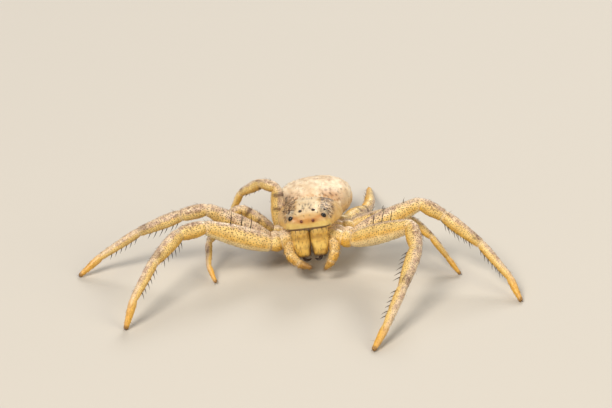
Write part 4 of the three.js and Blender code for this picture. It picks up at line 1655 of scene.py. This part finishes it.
@dataclass
class Mouth:
    """The two jaws with their fangs, and the two feelers beside them."""

    pose: BodyPose
    centre: float = 0.45
    top: float = 0.5
    bottom: float = -0.78
    half_width: float = 0.43
    half_depth: float = 0.3
    tip_scale: float = 0.76
    front: float = -1.36
    palp_paths: dict[Side, tuple[Point, ...]] = field(
        default_factory=lambda: {
            Side.RIGHT: (
                (0.5, -1.0, -0.45),
                (0.98, -1.3, -0.3),
                (0.99, -1.72, -0.6),
                (0.62, -1.92, -1.0),
                (0.17, -1.9, -1.24),
            ),
            Side.LEFT: (
                (0.5, -1.0, -0.45),
                (1.0, -1.3, -0.38),
                (1.04, -1.62, -0.74),
                (0.84, -1.74, -1.12),
                (0.56, -1.72, -1.42),
            ),
        }
    )
    palp_radii: tuple[float, ...] = (0.2, 0.25, 0.24, 0.2, 0.1)
    palp_joints: tuple[float, ...] = (0.3, 0.48, 0.7)
    palp_sides: int = 32
    fang_path: tuple[Point, ...] = (
        (0.4, -1.5, -0.82),
        (0.36, -1.52, -0.96),
        (0.22, -1.44, -1.04),
        (0.08, -1.32, -1.02),
    )
    fang_radii: tuple[float, ...] = (0.1, 0.085, 0.055, 0.015)
    jaw_fringe: Coat = Coat(
        density=60, length=0.16, spread=0.4, radius=0.0075, flatness=0.55, jitter=0.22, seed=500
    )
    palp_hair: Coat = Coat(
        density=110, length=0.15, spread=0.4, radius=0.0075, flatness=0.6, jitter=0.22, seed=510
    )

    def jaw(self, side: Side) -> Skin:
        """One jaw: a swollen column with a painted shadow as a brown band near the top and painted shade on
        its inner side and tip, fringed inside.
        """
        sides, steps = 64, 70
        angle = np.arange(sides) * 2 * math.pi / sides
        rings = []
        for i in range(steps):
            t = i / (steps - 1)
            z = self.top + (self.bottom - self.top) * t
            scale = 1 - (1 - self.tip_scale) * t**3
            swell = 1 + 0.05 * math.sin(math.pi * min(1.0, t * 1.15))
            c, s = np.cos(angle), np.sin(angle)
            x = np.sign(c) * np.abs(c) ** 0.7 * self.half_width * scale
            x = x + side.value * (self.centre - 0.05 * t)
            y = self.front - 0.05 * t + np.sign(s) * np.abs(s) ** 0.85 * self.half_depth * scale * swell
            rings.append(np.stack([x, y, np.full(sides, z)], axis=1))
        last = rings[-1]
        middle = last.mean(axis=0)
        for k in range(1, 9):
            turn = 0.5 * math.pi * k / 9
            ring = middle + (last - middle) * math.cos(turn)
            ring[:, 2] -= 0.1 * math.sin(turn)
            rings.append(ring)
        skin = loft(np.array(rings))
        x, y, z = skin.points.T
        grain = wander(skin.points, 0.2, 71)
        paint = Paint("#e0b650", len(skin.points))
        # Brown band near the top of the jaw: painted shadow cast by the face above it.
        band = ridge(z - 0.04 * grain, 0.12, 0.09) * (y < -1.2)
        paint.lay("#8a6432", band * 0.55)
        paint.lay("#d0b06a", smooth(0.22, 0.36, z) * 0.7)
        paint.lay("#efcf78", ridge(z, -0.25, 0.2) * 0.7)
        # Darker lower inner side and near-black tip: painted shade between the two jaws and under them.
        inner = smooth(0.2, 0.05, side.value * x)
        paint.lay("#5e3012", inner * smooth(0.05, -0.55, z) * 0.9)
        paint.lay("#3c1c0c", smooth(-0.62, -0.84, z) * 0.9)
        paint.lay("#9b6426", smooth(0.2, 0.9, grain) * 0.35)
        skin.tint = paint.colour
        skin.lie = combed(vertex_normals(skin), (0.0, -0.3, -1.0), 0.8)
        skin.values["speckle"] = np.full(len(skin.points), 0.25)
        skin.values["hair"] = np.clip(0.4 + 0.6 * smooth(-0.3, -0.7, z), 0, 1) * (y < -1.15)
        return skin.moved(self.pose)

    def palp(self, side: Side) -> Skin:
        """One feeler with its joints drawn in."""
        path = [np.array(point) * side.mirror for point in self.palp_paths[side]]
        rings = tube_rings(path, self.palp_radii, self.palp_sides, 90)
        middle = rings.mean(axis=1, keepdims=True)
        share = np.linspace(0, 1, len(rings))
        pinch = 1 - 0.14 * sum(ridge(share, place, 0.016) for place in self.palp_joints)
        rings = middle + (rings - middle) * pinch[:, None, None]
        skin = loft(rings)
        along = np.concatenate([np.repeat(share, self.palp_sides), [0.0, 1.0]])
        paint = Paint("#e0b04a", len(skin.points))
        # Paler on the upward faces: partly the feeler's own paler top, partly painted light from above.
        upper = smooth(0.0, 0.6, vertex_normals(skin)[:, 2])
        paint.lay("#e6cf9c", upper * 0.6)
        grain = wander(skin.points, 0.14, 81)
        brown = 0.75 if side is Side.RIGHT else 0.35
        paint.lay("#87572c", smooth(0.55, 0.9, along) * brown * (0.75 + 0.25 * grain))
        segment = sum(ridge(along, place, 0.02) for place in self.palp_joints)
        paint.lay("#f0dfb8", np.clip(segment, 0, 1) * 0.5)
        paint.lay("#5a2f18", smooth(0.9, 0.99, along) * 0.6)
        skin.tint = paint.colour
        tangent = unit(np.gradient(middle[:, 0, :], axis=0))
        skin.lie = np.concatenate([np.repeat(tangent, self.palp_sides, axis=0), tangent[:1], tangent[-1:]])
        skin.values["speckle"] = np.full(len(skin.points), 1.0)
        skin.values["hair"] = smooth(0.15, 0.3, along)
        return skin.moved(self.pose)

    def build(self, finishes: Finishes) -> None:
        """Make the jaws, fangs and feelers with their hair."""
        for side in Side:
            jaw = self.jaw(side).make(f"chelicera_{side.word}_skin", finishes["jaw"])
            settle(jaw, [f"chelicera_{side.word}"])
            path = [np.array(point) * side.mirror for point in self.fang_path]
            fang = loft(self.pose.to_part(tube_rings(path, self.fang_radii, 20, 40)))
            settle(fang.make(f"fang_{side.word}_claw", finishes["claw"]), [f"fang_{side.word}"])
            palp = self.palp(side).make(f"palp_{side.word}_skin", finishes["palp"])
            settle(palp, [f"palp_{side.word}_upper", f"palp_{side.word}_lower"])
            fringe = self.jaw_fringe.seeded(side.value)
            settle(fringe.grow(jaw, f"chelicera_{side.word}_coat", finishes["bristle"]))
            coat = self.palp_hair.seeded(side.value)
            settle(coat.grow(palp, f"palp_{side.word}_coat", finishes["hair"]))


@dataclass
class Studio:
    """A pale floor, soft lights, and a camera set like the photograph's, as near as can be told."""

    pose: BodyPose
    elevation: float = 28.0
    distance: float = 150.0
    focal_pixels: float = 3240.0
    picture: tuple[float, float] = (612.0, 408.0)
    face_pixel: tuple[float, float] = (310.0, 240.0)
    face: Point = (0.0, -1.65, 0.0)
    floor_size: float = 4.0

    def camera(self) -> None:
        """Set the camera so that the face stands where it does in the photograph."""
        turn = math.radians(self.elevation)
        forward = np.array([0.0, math.cos(turn), -math.sin(turn)])
        right = np.array([1.0, 0.0, 0.0])
        upward = np.cross(right, forward)
        scale = self.distance / self.focal_pixels
        u = (self.face_pixel[0] - self.picture[0] / 2) * scale
        v = -(self.face_pixel[1] - self.picture[1] / 2) * scale
        place = self.pose.to_part(np.array(self.face)) - forward * self.distance - right * u - upward * v
        data = bpy.data.cameras.new("camera")
        data.sensor_width = 36.0
        data.lens = data.sensor_width * self.focal_pixels / self.picture[0]
        data.clip_start = 0.001
        data.clip_end = 10.0
        camera = add_object("camera", data)
        camera.location = Vector((place * MM).tolist())
        camera.rotation_euler = Euler((math.pi / 2 - turn, 0.0, 0.0))
        bpy.context.scene.camera = camera

    def light(self, name: str, place: Point, size: float, power: float, colour: str) -> None:
        """Add one soft square light that looks at the spider.

        Args:
            name: The light's name.
            place: Where it hangs, in metres.
            size: Its side in metres.
            power: Its power in watts.
            colour: Its colour.
        """
        data = bpy.data.lights.new(name, "AREA")
        data.size = size
        data.energy = power
        data.color = [float(v) for v in srgb(colour)]
        light = add_object(name, data)
        light.location = Vector(place)
        light.rotation_euler = (-Vector(place)).to_track_quat("-Z", "Y").to_euler()

    def build(self, finishes: Finishes) -> None:
        """Make the floor, lights, sky and camera."""
        mesh = bpy.data.meshes.new("floor")
        half = self.floor_size / 2
        corners = [(-half, -half, 0), (half, -half, 0), (half, half, 0), (-half, half, 0)]
        mesh.from_pydata(corners, [], [(0, 1, 2, 3)])
        mesh.materials.append(finishes["floor"])
        floor = add_object("floor", mesh)
        self.light("key", (-0.12, -0.14, 0.24), 0.12, 0.82, "#fff0da")
        self.light("fill", (0.2, -0.12, 0.14), 0.16, 0.3, "#ffedc8")
        self.light("rim", (0.06, 0.22, 0.16), 0.1, 0.34, "#fff8ec")
        world = bpy.data.worlds.new("soft_sky")
        world.use_nodes = True
        background = world.node_tree.nodes["Background"]
        background.inputs["Color"].default_value = (0.95, 0.97, 1.0, 1.0)
        background.inputs["Strength"].default_value = 0.3
        bpy.context.scene.world = world
        bpy.context.scene.view_settings.view_transform = "Standard"
        bpy.context.scene.view_settings.look = "None"
        self.camera()


def make_finishes() -> Finishes:
    """Build every finish once.

    Returns:
        The materials by a short name.
    """
    finishes = (
        ("leg", CuticleFinish("leg_cuticle", "#2c190a", 0.92, (24.0, 104.0), 0.28)),
        ("carapace", CuticleFinish("carapace_cuticle", "#2a180d", 0.9, (84.0, 52.0), 0.32)),
        (
            "abdomen",
            CuticleFinish("abdomen_cuticle", "#6a4530", 0.5, (70.0, 46.0), 0.26, roughness=0.55, grain=0.4),
        ),
        ("body", CuticleFinish("body_cuticle", "#4a3020", 0.6, (30.0, 20.0))),
        ("palp", CuticleFinish("palp_cuticle", "#3a210e", 0.9, (16.0, 30.0), 0.27)),
        ("jaw", CuticleFinish("jaw_cuticle", "#4a2a10", 0.5, (20.0, 16.0), 0.26, roughness=0.3, coat=0.35)),
        ("hair", HairFinish("leg_hair", "#5a3a20", 0.5)),
        ("pale_hair", HairFinish("pale_hair", "#f2e6cc", 0.12)),
        ("bristle", HairFinish("dark_bristle", "#2e1b10", 0.85)),
        ("spine", PlainFinish("spine_horn", "#21130b", 0.3, 0.2)),
        ("claw", PlainFinish("claw_horn", "#2a140b", 0.22, 0.4)),
        ("eye", PlainFinish("eye_black", "#030202", 0.1, 0.3, 0.4)),
        ("small_eye", PlainFinish("eye_brown", "#2a0f06", 0.12, 0.3, 0.4)),
        ("amber_eye", PlainFinish("eye_amber", "#5c220b", 0.12, 0.3, 0.4)),
        ("floor", PlainFinish("floor_pale", "#c4c3c1", 0.7)),
    )
    return {name: finish.build() for name, finish in finishes}


def main() -> None:
    """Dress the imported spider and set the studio."""
    logging.basicConfig(level=logging.INFO, format="%(name)s: %(message)s")
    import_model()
    pose = BodyPose()
    finishes = make_finishes()
    Studio(pose).build(finishes)
    eyes = EyeSet(pose)
    eyes.build(finishes)
    Prosoma(pose, eyes).build(finishes)
    Mouth(pose).build(finishes)
    Abdomen(pose).build(finishes)
    for pair in LEG_PAIRS:
        for side in Side:
            Leg(pair, side, pose).build(finishes)


if __name__ == "__main__":
    main()
